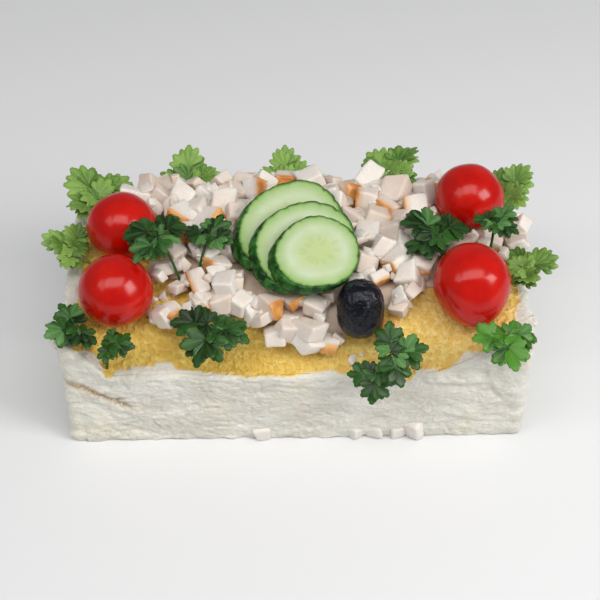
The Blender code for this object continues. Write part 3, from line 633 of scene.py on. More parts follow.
def build_spread(materials):
    """The egg spread: a grainy dome, hollowed under the fruit, with an even skirt down to its seat."""
    half_x = LENGTH / 2 - END_RIM_WIDTH + UNDER_END_RIM
    back = DEPTH / 2 - RIM_WIDTH + UNDER_BACK_RIM
    inner_front = RIM_WIDTH - DEPTH / 2
    columns = round(2 * half_x / SPREAD_STEP)
    rows = round(2 * back / SPREAD_STEP)
    rounds = [(centre, radius, half) for _, centre, radius, half, turn in TOMATOES if turn == (0, 0)]
    rounds.append((TOMATOES[3][1], *TILTED_TOMATO_HOLLOW))
    rounds.append((OLIVE_CENTRE, OLIVE_RADIUS + OLIVE_HOLLOW, OLIVE_HALF_LENGTH))
    points, egg = [], []
    for row in range(rows + 1):
        for column in range(columns + 1):
            x = -half_x + 2 * half_x * column / columns
            start = LEFT_RISE_START if x < 0 else RIGHT_RISE_START
            behind_rim = smooth_step(abs(x), start, start + 0.010)
            front = SPREAD_LIP + (UNDER_FRONT_RIM - SPREAD_LIP) * behind_rim - DEPTH / 2
            y = front + (back - front) * row / rows
            z = spread_height(x, y)
            near_rim = 1 - smooth_step(y, inner_front, inner_front + 0.012)
            z += (rim_height(x, -DEPTH / 2) - rim_height(x, -1.0) + LIP_LIFT) * near_rim
            z -= LIP_DROP * (1 - 0.6 * behind_rim) * (1 - smooth_step(y - front, 0.0, LIP_ROUND))
            z -= BACK_DROP * (1 - smooth_step(back - y, 0.0, LIP_ROUND))
            share = egg_share(x, y, z) if y < -0.030 else 1.0
            grain = 0.42 * rough(x * 300, y * 300, 0, 21.0) + 0.26 * rough(x * 700, y * 700, 0, 22.0)
            lumps = 0.40 * rough(x * 120, y * 120, 0, 23.0) + 0.30 * rough(x * 55, y * 300, 0, 24.0)
            edge = min(half_x - abs(x), back - y) / 0.002
            z += (grain + lumps) * MM * min(0.35 + edge, 1.0) + 0.00035 * (1 - share)
            under = solid_low(x, y, rounds)
            if under is not None:
                z = min(z, under - GAP)
            points.append((x, y, z))
            egg.append(share)
    faces = grid_faces(columns, rows)
    edge = grid_edge(columns, rows)
    base = len(points)
    for at in edge:
        x, y, z = points[at]
        points.append((x * SKIRT_INSET[0], y * SKIRT_INSET[1], min(z - SPREAD_SKIRT, SKIRT_FOOT)))
        egg.append(egg[at])
    centre = len(points)
    points.append((0.0, 0.0, SKIRT_FOOT))
    egg.append(1.0)
    for at, top in enumerate(edge):
        after = (at + 1) % len(edge)
        faces.append((top, base + at, base + after, edge[after]))
        faces.append((base + after, base + at, centre))
    marks = {"egg": egg, "crease": [0.0] * len(egg)}
    make_piece("egg_spread", points, faces, materials, ["yellow_spread"], marks)


def turned_place(centre, tilt, heading):
    """The place of a fruit whose long axis is tilted and then turned."""
    spin = Matrix.Rotation(math.radians(heading), 4, "Z") @ Matrix.Rotation(math.radians(tilt), 4, "X")
    return Matrix.Translation(centre) @ spin


def round_body(segments, rows, radius, half_length, shape, place):
    """A closed round body. For an angle and a height, shape gives a factor on the width and a shift out."""
    points = []
    for row in range(rows + 1):
        polar = math.pi * row / rows - math.pi / 2
        for at in range(segments if 0 < row < rows else 1):
            angle = 2 * math.pi * at / segments
            level, ring = math.sin(polar), math.cos(polar)
            width, shift = shape(angle, level, ring)
            out = Vector((math.cos(angle) * ring, math.sin(angle) * ring, level))
            spot = Vector((out.x * radius * width, out.y * radius * width, out.z * half_length)) + out * shift
            points.append(place @ spot)
    last = len(points) - 1
    faces = fan_faces(1, segments, 0, True) + fan_faces(last - segments, segments, last, False)
    faces += [tuple(1 + at for at in face) for face in ring_faces(rows - 1, segments)]
    return points, faces


def build_tomato(number, node, centre, radius, half_length, turn, materials):
    """A cherry tomato: smooth and tight-skinned, a little out of round."""
    narrowing = TOMATO_TAPER if half_length > radius else ROUND_TOMATO_TAPER

    def shape(angle, level, ring):
        spot = (math.cos(angle) * ring, math.sin(angle) * ring, level)
        lobes = 0.00016 * math.cos(4 * angle + number) * ring
        dents = 0.00022 * rough(spot[0] * 1.6, spot[1] * 1.6, spot[2] * 1.6, 30.0 + number)
        ripple = 0.00003 * rough(spot[0] * 7, spot[1] * 7, spot[2] * 7, 36.0 + number)
        return 1 - narrowing * max(level, 0.0), lobes + dents + ripple

    points, faces = round_body(*TOMATO_GRID, radius, half_length, shape, turned_place(centre, *turn))
    make_piece(node + "_skin", points, faces, materials, [node])


def build_olive(materials):
    """The black olive: blunt ends, fine wrinkles along its length and a small stem scar."""

    def shape(angle, level, ring):
        full = max(1 - abs(level) ** OLIVE_BLUNTNESS, 0.0) ** (1 / OLIVE_BLUNTNESS)
        side, front = math.cos(angle) * full, math.sin(angle) * full
        shift = -OLIVE_SCAR * math.exp(-((1 - level) / 0.02) ** 2)
        for number, (round_it, along_it, depth) in enumerate(OLIVE_WRINKLES):
            shift -= depth * abs(rough(side * round_it, front * round_it, level * along_it, 41.0 + number))
        return full / max(ring, 1e-4), shift * MM

    place = turned_place(OLIVE_CENTRE, -OLIVE_LEAN, 0)
    points, faces = round_body(*OLIVE_GRID, OLIVE_RADIUS, OLIVE_HALF_LENGTH, shape, place)
    make_piece("black_olive_skin", points, faces, materials, ["black_olive"])


def slice_matrix(number, shift):
    """The place of a cucumber slice: its own level, leaning with the others, its long axis turned."""
    lean = Matrix.Rotation(math.radians(SLICE_LEAN_RIGHT), 4, "Y")
    lean = lean @ Matrix.Rotation(math.radians(SLICE_LEAN_FORWARD), 4, "X")
    turn = Matrix.Rotation(math.radians(SLICE_LONG_AXIS_TURN), 4, "Z")
    rise = number * (SLICE_THICKNESS + GAP)
    return Matrix.Translation(SLICE_BACK_CENTRE) @ lean @ Matrix.Translation((*shift, rise)) @ turn


def build_slice(number, node, shift, long_radius, short_radius, materials):
    """A cucumber slice cut on the bias: wet flesh on both faces, seeds near the middle and a rind wall."""
    place = slice_matrix(number, shift)
    slant = SLICE_THICKNESS * math.tan(math.radians(SLICE_BIAS))
    slant_x = slant * math.cos(math.radians(SLICE_BIAS_TURN))
    slant_y = slant * math.sin(math.radians(SLICE_BIAS_TURN))
    rng = random.Random(50 + number)
    seeds = []
    for at in range(SEED_COUNT):
        angle = 2 * math.pi * (at + rng.uniform(-0.3, 0.3)) / SEED_COUNT
        seeds.append((angle, rng.uniform(*SEED_PLACES)))
    rows = [(0.0, ring / SLICE_RINGS * FLESH_REACH) for ring in range(1, SLICE_RINGS + 1)]
    rows += [(row / RIND_ROWS, 1.0) for row in range(RIND_ROWS + 1)]
    rows += [(1.0, share) for share in UNDERSIDE_RINGS]
    points, rind, seed_share, flesh = [], [], [], []
    for below, reach in rows:
        on_face = below == 0.0 and reach < 1.0
        at_edge = reach == 1.0 and below in (0.0, 1.0)
        for at in range(SLICE_SEGMENTS):
            angle = 2 * math.pi * at / SLICE_SEGMENTS
            side, front = math.cos(angle), math.sin(angle)
            width = 1 + sum(lump * math.sin(waves * angle + waves * number) for waves, lump in SLICE_LUMPS)
            ridge = 1 - abs(math.sin(SLICE_RIDGES * angle + 1.2 * rough(side, front, 0, 50.0 + number)))
            notch = SLICE_NOTCH * rough(side * 14, front * 14, below, 51.0 + number)
            width += (notch - SLICE_RIDGE * ridge ** 3) * reach
            if reach == 1.0:
                width += SLICE_BULGE * math.sin(math.pi * below)
            if at_edge:
                width -= SLICE_EDGE_ROUND
            x = side * long_radius * width * reach - slant_x * below
            y = front * short_radius * width * reach - slant_y * below
            z = -SLICE_THICKNESS * below
            if below == 0.0:
                z += 0.10 * MM * rough(x * 190, y * 190, 0, 55.0 + number) * (1 - reach ** 6)
            if on_face:
                z -= SLICE_DROOP * reach ** 8
            points.append(place @ Vector((x, y, z)))
            edge = reach + 0.02 * rough(angle * 6, 0, 0, 57.0)
            on_wall = 0.0 < below < 1.0 or reach == 1.0
            rind.append(1.0 if on_wall else smooth_step(edge, RIND_STARTS, FLESH_REACH))
            seed_share.append(seed_mask(angle, reach, seeds) if on_face else 0.0)
            flesh.append(reach)
    count = SLICE_SEGMENTS
    rings = len(rows)
    faces = [tuple(reversed(face)) for face in ring_faces(rings, count)]
    for z, ring, turned in ((0.0, 0, False), (1.0, rings - 1, True)):
        centre = len(points)
        points.append(place @ Vector((-slant_x * z, -slant_y * z, -SLICE_THICKNESS * z)))
        rind.append(0.0)
        seed_share.append(0.0)
        flesh.append(0.0)
        faces += fan_faces(ring * count, count, centre, turned)
    marks = {"rind": rind, "seed": seed_share, "flesh": flesh}
    make_piece(node + "_cut", points, faces, materials, [node], marks)


def seed_mask(angle, reach, seeds):
    """How much a point of the cut face is seed: long ovals that point at the middle."""
    mask = 0.0
    for seed_angle, seed_reach in seeds:
        turn = (angle - seed_angle + math.pi) % (2 * math.pi) - math.pi
        across = turn * reach / SEED_HALF_WIDTH
        along = (reach - seed_reach) / SEED_HALF_LENGTH
        mask = max(mask, 1 - smooth_step(across * across + along * along, 0.5, 1.2))
    return mask


def heap_front(x):
    """How far forward the chicken reaches at a place along the cake."""
    if x > HEAP_STEP:
        return HEAP_STEP_FRONT
    return HEAP_FRONT - HEAP_BULGE * math.exp(-((x - HEAP_BULGE_AT) / HEAP_BULGE_WIDTH) ** 2)


def in_heap(x, y, margin=0.0):
    """Whether a point of the plan lies under the chicken, at least a margin inside its outline."""
    left = HEAP_LEFT if y < HEAP_LEFT_STEP else HEAP_LEFT_BACK
    return left + margin < x < HEAP_RIGHT - margin and heap_front(x) + margin < y < HEAP_BACK - margin


def core_skin(rounds):
    """The lumpy layer of chicken under the dice: closed, with the spread's form."""
    half_x = LENGTH / 2 - END_RIM_WIDTH
    half_y = DEPTH / 2 - RIM_WIDTH
    columns, rows = round(2 * half_x / CORE_STEP), round(2 * half_y / CORE_STEP)
    spots, kept = {}, set()
    for row in range(rows + 1):
        for column in range(columns + 1):
            x = -half_x + 2 * half_x * column / columns
            y = -half_y + 2 * half_y * row / rows
            spots[column, row] = (x, y)
            under = solid_low(x, y, rounds)
            if in_heap(x, y, CORE_MARGIN) and (under is None or under > spread_height(x, y) + 0.001):
                kept.add((column, row))
    corners = ((1, 0), (0, 1), (1, 1))
    cells = {(across, up) for across, up in kept if all((across + dx, up + dy) in kept for dx, dy in corners)}
    points, index = [], {}

    def corner(at, top):
        key = (at, top)
        if key not in index:
            x, y = spots[at]
            z = spread_height(x, y)
            lump = 0.9 * MM * rough(x * 260, y * 260, 0, 61.0)
            index[key] = len(points)
            points.append((x, y, z + (CORE_THICKNESS - 0.0006 + lump if top else 0.0002)))
        return index[key]

    faces = []
    for column, row in sorted(cells):
        square = [(column, row), (column + 1, row), (column + 1, row + 1), (column, row + 1)]
        faces.append([corner(at, True) for at in square])
        faces.append([corner(at, False) for at in reversed(square)])
        beside = ((column, row - 1), (column + 1, row), (column, row + 1), (column - 1, row))
        for side, other in enumerate(beside):
            if other not in cells:
                first, second = square[side], square[(side + 1) % 4]
                wall = ((first, False), (second, False), (second, True), (first, True))
                faces.append([corner(*at) for at in wall])
    return points, faces


def die_template(lines, radius=DIE_ROUNDING):
    """A cube of edge 1 with rounded edges: its points and faces, finer near the edges."""
    index, points, faces = {}, [], []

    def corner(spot):
        if spot not in index:
            inner = Vector([min(max(value, radius - 0.5), 0.5 - radius) for value in spot])
            out = Vector(spot) - inner
            index[spot] = len(points)
            points.append(inner + out.normalized() * radius)
        return index[spot]

    for axis in range(3):
        for side in (-0.5, 0.5):
            for u0, u1 in zip(lines, lines[1:]):
                for v0, v1 in zip(lines, lines[1:]):
                    square = []
                    for u, v in ((u0, v0), (u1, v0), (u1, v1), (u0, v1)):
                        spot = [0.0, 0.0, 0.0]
                        spot[axis] = side
                        spot[(axis + 1) % 3] = u
                        spot[(axis + 2) % 3] = v
                        square.append(corner(tuple(spot)))
                    faces.append(tuple(square if side > 0 else reversed(square)))
    return points, faces


def die_points(template, centre, sizes, turns, rng, skew=DIE_SKEW):
    """One die: the template at its sizes, its corners out of true and its faces torn along the fibres."""
    shifts = {}
    for sx in (0, 1):
        for sy in (0, 1):
            for sz in (0, 1):
                shifts[sx, sy, sz] = Vector([rng.uniform(-skew, skew) for _ in range(3)])
    seed = rng.uniform(0, 50)
    spin = Matrix.Identity(3)
    for axis, turn in zip("ZXY", (turns[2], turns[0], turns[1])):
        spin = spin @ Matrix.Rotation(math.radians(turn), 3, axis)
    points = []
    for point in template:
        shares = [value + 0.5 for value in point]
        moved = point.copy()
        for (sx, sy, sz), shift in shifts.items():
            weight = (shares[0] if sx else 1 - shares[0]) * (shares[1] if sy else 1 - shares[1])
            weight *= shares[2] if sz else 1 - shares[2]
            moved += shift * weight
        spot = Vector([value * size for value, size in zip(moved, sizes)])
        fibre = rough(spot.x * 900, spot.y * 900, spot.z * 200, seed)
        dent = rough(spot.x * 260, spot.y * 260, spot.z * 260, seed + 3)
        spot += point.normalized() * (DIE_FIBRE * fibre + DIE_DENT * dent) * MM
        points.append(centre + spin @ spot)
    return points, spin


def hits(points, middle, trees, centres, faces):
    """Whether a die, grown by its clearance, meets any topping or lies inside a solid one."""
    if any((middle - centre).length < reach for centre, reach in centres):
        return True
    grown = [middle + (point - middle) * DICE_CLEARANCE for point in points]
    tree = BVHTree.FromPolygons(grown, faces)
    return any(tree.overlap(other) for other in trees)


def dice_places(seed, share, lift):
    """The seeded places of the dice: rows over the heap, each place shifted at random."""
    rng = random.Random(seed)
    places = []
    rows = int((HEAP_BACK + DEPTH / 2) / DICE_ROW_PITCH) + 1
    columns = int(LENGTH / DICE_PITCH) + 1
    for row in range(rows):
        for column in range(columns):
            x = -LENGTH / 2 + (column + 0.5 * (row % 2) + share) * DICE_PITCH
            x += rng.uniform(-DICE_SHIFT, DICE_SHIFT)
            y = -DEPTH / 2 + (row + share) * DICE_ROW_PITCH + rng.uniform(-DICE_SHIFT, DICE_SHIFT)
            if in_heap(x, y):
                places.append((Vector((x, y)), rng.uniform(0.0, lift)))
    return places


def solid_tree(node):
    """A search tree of a solid's faces."""
    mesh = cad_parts[node].data
    faces = [tuple(face.vertices) for face in mesh.polygons]
    return BVHTree.FromPolygons([vert.co for vert in mesh.vertices], faces)


def build_chicken(materials):
    """The heap of diced chicken: a low core, a layer of dice and smaller bits in the gaps between them."""
    shapes = [die_template(lines) for lines in (DIE_LINES, BIT_LINES, BIT_LINES, DIE_LINES)]
    corners = [Vector((x, y, z)) for x in (-0.5, 0.5) for y in (-0.5, 0.5) for z in (-0.5, 0.5)]
    corner_faces = [(0, 1, 3, 2), (4, 6, 7, 5), (0, 4, 5, 1), (2, 3, 7, 6), (0, 2, 6, 4), (1, 5, 7, 3)]
    below = ("cream_loaf", "yellow_spread", "diced_chicken")
    trees = [solid_tree(name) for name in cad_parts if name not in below]
    centres = [(Vector(centre), radius) for _, centre, radius, _, _ in TOMATOES]
    centres.append((Vector(OLIVE_CENTRE), OLIVE_RADIUS))
    rounds = [(centre, radius, half) for _, centre, radius, half, _ in TOMATOES]
    rounds.append((OLIVE_CENTRE, OLIVE_RADIUS, OLIVE_HALF_LENGTH))
    points, faces = core_skin(rounds)
    # The core gets browning as painted shade in the gaps between the dice; the dice get their real browned
    # skin
    browning_and_gap_shade = [CORE_GAP_SHADE] * len(points)
    tones = [0.5] * len(points)
    dice = [(Vector(at), 0.0, WHOLE) for at in STRAY_DICE]
    for number, (kind, share, most_lift) in enumerate(DICE_LAYERS):
        dice += [(place, lift, kind) for place, lift in dice_places(DICE_SEED + number, share, most_lift)]
    dice += [(Vector(at), 0.0, FRONT) for at in FRONT_DICE]
    spots = {index: Vector(spot) * MM for index, spot in enumerate(SKIN_SPOTS)}
    for number, (place, lift, kind) in enumerate(dice):
        rng = random.Random(DICE_SEED * 1000 + number)
        sizes = []
        for _ in range(3):
            size = rng.uniform(*DIE_SIZES[kind])
            sizes.append(size * rng.uniform(1 - DIE_UNEVENNESS, 1 + DIE_UNEVENNESS))
        sizes[2] *= DIE_FLATNESS
        if number < len(STRAY_DICE):
            sizes = [size * STRAY_SCALE for size in sizes]
        turns = (rng.uniform(-DICE_TILT, DICE_TILT), rng.uniform(-DICE_TILT, DICE_TILT), rng.uniform(0, 90))
        height = cake_top(place.x, place.y) + CORE_THICKNESS + sizes[2] * DICE_RISE + lift
        for shrink in DICE_SHRINKS:
            trial = [size * shrink for size in sizes]
            centre = Vector((place.x, place.y, height - (1 - shrink) * sizes[2] * SHRINK_DROP))
            rough_die, _ = die_points(corners, centre, trial, turns, random.Random(number))
            short = max(cake_top(point.x, point.y) + 0.0006 - point.z for point in rough_die)
            centre.z += max(short, 0.0)
            rough_die = [point + Vector((0, 0, max(short, 0.0))) for point in rough_die]
            if not hits(rough_die, centre, trees, centres, corner_faces):
                break
        else:
            continue
        template, template_faces = shapes[kind]
        made, spin = die_points(template, centre, trial, turns, random.Random(number))
        near = [index for index, spot in spots.items() if (spot - place).length < SKIN_SPOT_REACH]
        has_skin = bool(near) and kind != SCRAP
        tone = rng.random()
        if has_skin:
            del spots[near[0]]
        facing = Vector((rng.choice((-0.8, 0.8)), -0.55, rng.uniform(-0.1, 0.5)))
        axis = max(range(6), key=lambda way: (spin.col[way % 3] * (1 if way < 3 else -1)).dot(facing))
        side = 1 if axis < 3 else -1
        gather(points, faces, made, template_faces)
        for point in template:
            depth = (0.5 - point[axis % 3] * side) * trial[axis % 3] / MM
            browning_and_gap_shade.append(1 - smooth_step(depth, *SKIN_DEPTH) if has_skin else 0.0)
            tones.append(tone)
    marks = {"browning_and_gap_shade": browning_and_gap_shade, "tone": tones}
    make_piece("chicken_dice", points, faces, materials, ["diced_chicken"], marks)


def build_foot_dice(materials):
    """Dice of chicken that stick to the coat at its front foot."""
    template, template_faces = die_template(DIE_LINES, FOOT_DIE_ROUNDING)
    points, faces = [], []
    for number, (x, size, turn) in enumerate(FOOT_DICE):
        centre = Vector((x, -DEPTH / 2 + size * FOOT_DIE_INSET, size * FOOT_DIE_RISE))
        sizes = [size * FOOT_DIE_SCALE * share for share in FOOT_DIE_SHAPE]
        turns = (*FOOT_DIE_TILT, turn)
        made, _ = die_points(template, centre, sizes, turns, random.Random(70 + number), FOOT_DIE_SKEW)
        made = [Vector((point.x, point.y, max(point.z, 0.0002))) for point in made]
        gather(points, faces, made, template_faces)
    marks = {"browning_and_gap_shade": [0.0] * len(points), "tone": [0.0] * len(points)}
    make_piece("chicken_at_the_foot", points, faces, materials, ["cream_loaf"], marks)


def build_crumbs(materials):
    """Crumbs of chicken on the spread, in front of the heap."""
    template, template_faces = die_template(BIT_LINES)
    rng = random.Random(80)
    points, faces, places = [], [], []
    for _ in range(CRUMB_TRIES):
        x = rng.uniform(*CRUMB_ENDS)
        y = heap_front(x) - rng.uniform(0.0, 0.006)
        if y > CRUMB_FRONT:
            places.append((x, y))
    for x, y in places:
        size = rng.uniform(*CRUMB_SIZES)
        sizes = [size * rng.uniform(0.7, 1.3) for _ in range(3)]
        turns = [rng.uniform(0, 90) for _ in range(3)]
        centre = Vector((x, y, cake_top(x, y) + size * 0.3))
        made, _ = die_points(template, centre, sizes, turns, rng, CRUMB_SKEW)
        gather(points, faces, made, template_faces)
    marks = {"browning_and_gap_shade": [0.0] * len(points), "tone": [0.3] * len(points)}
    make_piece("chicken_crumbs", points, faces, materials, (), marks)


def leaf_reach(angle, shape):
    """How far a leaflet reaches at an angle from its tip, and how far from a lobe's rib that is."""
    lobes, cleft, notch = shape
    best, fold = 0.0, 1.0
    for direction, reach, half_width in lobes:
        off = abs(angle - direction) / half_width
        if off < 1:
            lobe = reach * (1 - off ** 3) ** 0.42
            lobe -= notch * reach * math.exp(-((off - 0.46) / 0.15) ** 2)
            best = max(best, lobe)
        fold = min(fold, off)
    outer = lobes[-1][0] + lobes[-1][2] * 0.5
    floor = cleft * smooth_step(outer + 26 - abs(angle), 0, 26) + 0.05
    return max(best, floor), fold


def add_leaflet(parts, length, shape, phase, tone, place, flipped):
    """One leaflet as a thin closed sheet: lobed and toothed, creased along its ribs, its edge curling."""
    points, faces, veins, tones, slots = parts
    top = []
    for row in range(LEAF_ROWS + 1):
        rho = (row / LEAF_ROWS) ** 0.85
        for column in range(LEAF_COLUMNS + 1):
            angle = -LEAF_SPAN + 2 * LEAF_SPAN * column / LEAF_COLUMNS
            reach, fold = leaf_reach(angle, shape)
            out = length * rho * reach
            turn = math.radians(angle)
            rib = math.exp(-(fold * 4.0) ** 2)
            lift = length * rho * (LEAF_FOLD * min(fold, 1.0) - LEAF_RIB * rib)
            lift += length * LEAF_CURL * math.sin(turn * 3 + phase) * rho ** 2
            lift -= length * LEAF_DROOP * (rho * reach) ** 2.5
            top.append((Vector((-math.sin(turn) * out, math.cos(turn) * out, lift)), rib))
    base = len(points)
    for side in (0.5, -0.5):
        for spot, rib in top:
            points.append(place @ (spot + Vector((0, 0, LEAF_THICKNESS * side))))
            veins.append(rib)
            # Painted shade: the tone darkens towards the leaflet's foot and lightens towards its tips
            tones.append(tone + 0.5 * math.hypot(spot.x, spot.y) / length - 0.35)
    under = base + len(top)
    upper_slot, lower_slot = (1, 0) if flipped else (0, 1)
    for square in grid_faces(LEAF_COLUMNS, LEAF_ROWS):
        faces.append(tuple(base + at for at in reversed(square)))
        slots.append(upper_slot)
        faces.append(tuple(under + at for at in square))
        slots.append(lower_slot)
    edge = grid_edge(LEAF_COLUMNS, LEAF_ROWS)
    for at, first in enumerate(edge):
        second = edge[(at + 1) % len(edge)]
        faces.append((base + first, base + second, under + second, under + first))
        slots.append(upper_slot)


def add_stem(parts, route, radius):
    """A round stem along a route of points, closed at both ends."""
    points, faces, veins, tones, slots = parts
    base = len(points)
    for at, spot in enumerate(route):
        before, after = route[max(at - 1, 0)], route[min(at + 1, len(route) - 1)]
        along = (after - before).normalized()
        across = along.orthogonal().normalized()
        beside = along.cross(across)
        for side in range(STEM_SIDES):
            angle = 2 * math.pi * side / STEM_SIDES
            points.append(spot + (across * math.cos(angle) + beside * math.sin(angle)) * radius)
            veins.append(0.8)
            tones.append(0.5)
    for face in ring_faces(len(route), STEM_SIDES):
        faces.append(tuple(base + at for at in face))
        slots.append(0)
    faces.append(tuple(base + at for at in reversed(range(STEM_SIDES))))
    faces.append(tuple(base + (len(route) - 1) * STEM_SIDES + at for at in range(STEM_SIDES)))
    slots += [0, 0]


def sprig_place(hub, heading, rise, roll):
    """The place of a sprig: its hub, turned to its heading, raised at the tip and rolled."""
    place = Matrix.Translation(hub) @ Matrix.Rotation(math.radians(heading), 4, "Z")
    return place @ Matrix.Rotation(math.radians(rise), 4, "X") @ Matrix.Rotation(math.radians(roll), 4, "Y")


def build_sprig(number, node, hub, heading, rise, roll, length, stem_length, kind, materials):
    """A sprig of parsley: three leaflets on a stem that comes down between the toppings."""
    place = sprig_place(hub, heading, rise, roll)
    rng = random.Random(200 + number)
    shape = LEAF_SHAPES[kind]
    parts = ([], [], [], [], [])
    for turn, share, droop in STALKS:
        stalk = place @ Matrix.Rotation(math.radians(turn), 4, "Z")
        reach = length * share
        route = []
        for along in STALK_PLACES:
            route.append(stalk @ Vector((0, reach * along, droop * reach * along * along)))
        add_stem(parts, route, STALK_RADIUS)
        for along, side_turn, size in LEAFLETS:
            foot = Vector((0, reach * along, droop * reach * along * along + rng.uniform(0, 0.0006)))
            pitch = math.degrees(math.atan(2 * droop * along)) + rng.uniform(-LEAF_PITCH, LEAF_PITCH)
            pitch += YOUNG_LIFT if kind == "young" else 0
            swing = math.radians(side_turn + rng.uniform(-LEAF_SWING, LEAF_SWING))
            own = Matrix.Translation(foot) @ Matrix.Rotation(swing, 4, "Z")
            own = own @ Matrix.Rotation(math.radians(pitch), 4, "X")
            own = own @ Matrix.Rotation(math.radians(rng.uniform(-LEAF_LEAN, LEAF_LEAN)), 4, "Y")
            flipped = rng.random() < FLIPPED_SHARE and kind != "young"
            size *= reach * rng.uniform(*LEAF_SIZES)
            add_leaflet(parts, size, shape, rng.uniform(0, 6), rng.random(), stalk @ own, flipped)
    foot = place @ Vector((0, -stem_length, 0))
    foot.x = min(max(foot.x, STEM_INSET - LENGTH / 2), LENGTH / 2 - STEM_INSET)
    foot.y = min(max(foot.y, STEM_INSET - DEPTH / 2), DEPTH / 2 - STEM_INSET)
    foot.z = min(cake_top(foot.x, foot.y) + 0.0005, foot.z)
    hub_spot = place @ Vector((0, 0, 0))
    middle = hub_spot.lerp(foot, 0.5) + Vector((0, 0, stem_length * 0.1))
    route = [hub_spot, hub_spot.lerp(middle, 0.5), middle, middle.lerp(foot, 0.5), foot]
    add_stem(parts, route, STEM_RADIUS)
    points, faces, veins, tones, slots = parts
    marks = {"vein": veins, "tone": tones}
    make_piece(node + "_leaf", points, faces, materials, [node], marks, slots)


def build_cream_lumps(materials):
    """Lumps of cream that the knife left hanging on the ends."""
    points, faces = [], []
    for number, (centre, size) in enumerate(CREAM_LUMPS):

        def shape(angle, level, ring):
            bumps = rough(math.cos(angle) * ring * 2, math.sin(angle) * ring * 2, level * 2, 90.0 + number)
            return 1.0, size * 0.35 * bumps

        gather(points, faces, *round_body(32, 20, size, size * 0.8, shape, Matrix.Translation(centre)))
    marks = {"egg": [0.0] * len(points), "crease": [0.0] * len(points)}
    make_piece("cream_lumps", points, faces, materials, (), marks)


def cream_cheese_and_egg():
    """Whipped cream cheese, spread with a knife, and mashed egg: soft, matt and a little uneven in colour."""
    material, shader, place, add = new_material("spread cream cheese and mashed egg")
    egg = add("Attribute", take="Fac", attribute_name="egg")
    crease = add("Attribute", take="Fac", attribute_name="crease")
    # The knife's strokes in the cream are broad and low, 17 mm by 6 mm
    strokes = add("Mapping", {"Vector": place, "Scale": (each(16.7), each(16.7), each(6.25))})
    streak = add("TexNoise", {"Vector": strokes, "Scale": 1.0, "Detail": 4.0})
    streak = add("MapRange", {"Value": streak, 1: 0.36, 2: 0.66})
    cream = add("Mix", {0: streak, 6: "#e6e4db", 7: "#d3d0c4"}, 2, data_type="RGBA")
    # Pinkish flecks of filling are 5 mm apart and buttery patches 17 mm
    fleck = add("TexNoise", {"Vector": place, "Scale": each(4.76), "Detail": 2.0})
    fleck = add("MapRange", {"Value": fleck, 1: 0.64, 2: 0.74, 4: 0.35})
    cream = add("Mix", {0: fleck, 6: cream, 7: "#dcc2ae"}, 2, data_type="RGBA")
    butter = {"Vector": place, "Scale": each(16.7), "Detail": 2.0, "W": 4.0}
    butter = add("TexNoise", butter, noise_dimensions="4D")
    butter = add("MapRange", {"Value": butter, 1: 0.54, 2: 0.74, 4: 0.35})
    cream = add("Mix", {0: butter, 6: cream, 7: "#eee6c8"}, 2, data_type="RGBA")
    # Bread shows in the crease, as crumbs of 1 mm
    crumb = add("TexNoise", {"Vector": place, "Scale": each(1.11), "Detail": 2.0})
    crumb = add("MapRange", {"Value": crumb, 1: 0.25, 2: 0.5})
    bread = add("Math", {0: crease, 1: crumb}, operation="MULTIPLY")
    cream = add("Mix", {0: bread, 6: cream, 7: "#a58a62"}, 2, data_type="RGBA")
    # Mashed egg is grainy: clumps of 2.4 mm break up into grains of 0.3 mm, with darker patches 13 mm apart
    grain = add("TexNoise", {"Vector": place, "Scale": each(2.38), "Detail": 4.0})
    grain = add("MapRange", {"Value": grain, 1: 0.36, 2: 0.66})
    yolk = add("Mix", {0: grain, 6: "#d8b047", 7: "#f0d26c"}, 2, data_type="RGBA")
    patch = add("TexNoise", {"Vector": place, "Scale": each(13.3), "Detail": 2.0})
    patch = add("MapRange", {"Value": patch, 1: 0.45, 2: 0.65, 4: 0.5})
    yolk = add("Mix", {0: patch, 6: yolk, 7: "#d2a640"}, 2, data_type="RGBA")
    # Painted light: the mash is painted lighter and yellower towards its right end, where more light falls on
    # it
    along = add("SeparateXYZ", {0: place})
    along = add("MapRange", {"Value": along, 1: -0.02, 2: 0.06, 4: 0.85})
    painted_light_yolk = add("Mix", {0: grain, 6: "#edc35b", 7: "#ffe392"}, 2, data_type="RGBA")
    yolk = add("Mix", {0: along, 6: yolk, 7: painted_light_yolk}, 2, data_type="RGBA")
    # Brown and orange specks are 1.4 mm apart
    speck = add("TexNoise", {"Vector": place, "Scale": each(1.43), "Detail": 1.0})
    dark = add("MapRange", {"Value": speck, 1: 0.66, 2: 0.76, 4: 0.35})
    yolk = add("Mix", {0: dark, 6: yolk, 7: "#a8772a"}, 2, data_type="RGBA")
    orange = add("MapRange", {"Value": speck, 1: 0.30, 2: 0.24, 4: 0.7})
    yolk = add("Mix", {0: orange, 6: yolk, 7: "#dd8330"}, 2, data_type="RGBA")
    colour = add("Mix", {0: egg, 6: cream, 7: yolk}, 2, data_type="RGBA")
    roughness = add("MapRange", {"Value": egg, 3: 0.46, 4: 0.62})
    # The torn surface of the cream has lumps of 1 to 2 mm
    torn = add("Mapping", {"Vector": place, "Scale": (each(1.92), each(1.92), each(1.25))})
    torn = add("TexNoise", {"Vector": torn, "Scale": 1.0, "Detail": 6.0})
    height = add("Mix", {0: egg, 2: torn, 3: grain})
    bump = add("Bump", {"Height": height, "Strength": 0.9, "Distance": 0.8 * MM})
    join(shader, {"Base Color": colour, "Roughness": roughness, "Normal": bump})
    join(shader, {"Subsurface Weight": 0.12, "Subsurface Scale": 0.6})
    join(shader, {"Subsurface Radius": (0.004, 0.003, 0.002)})
    return material


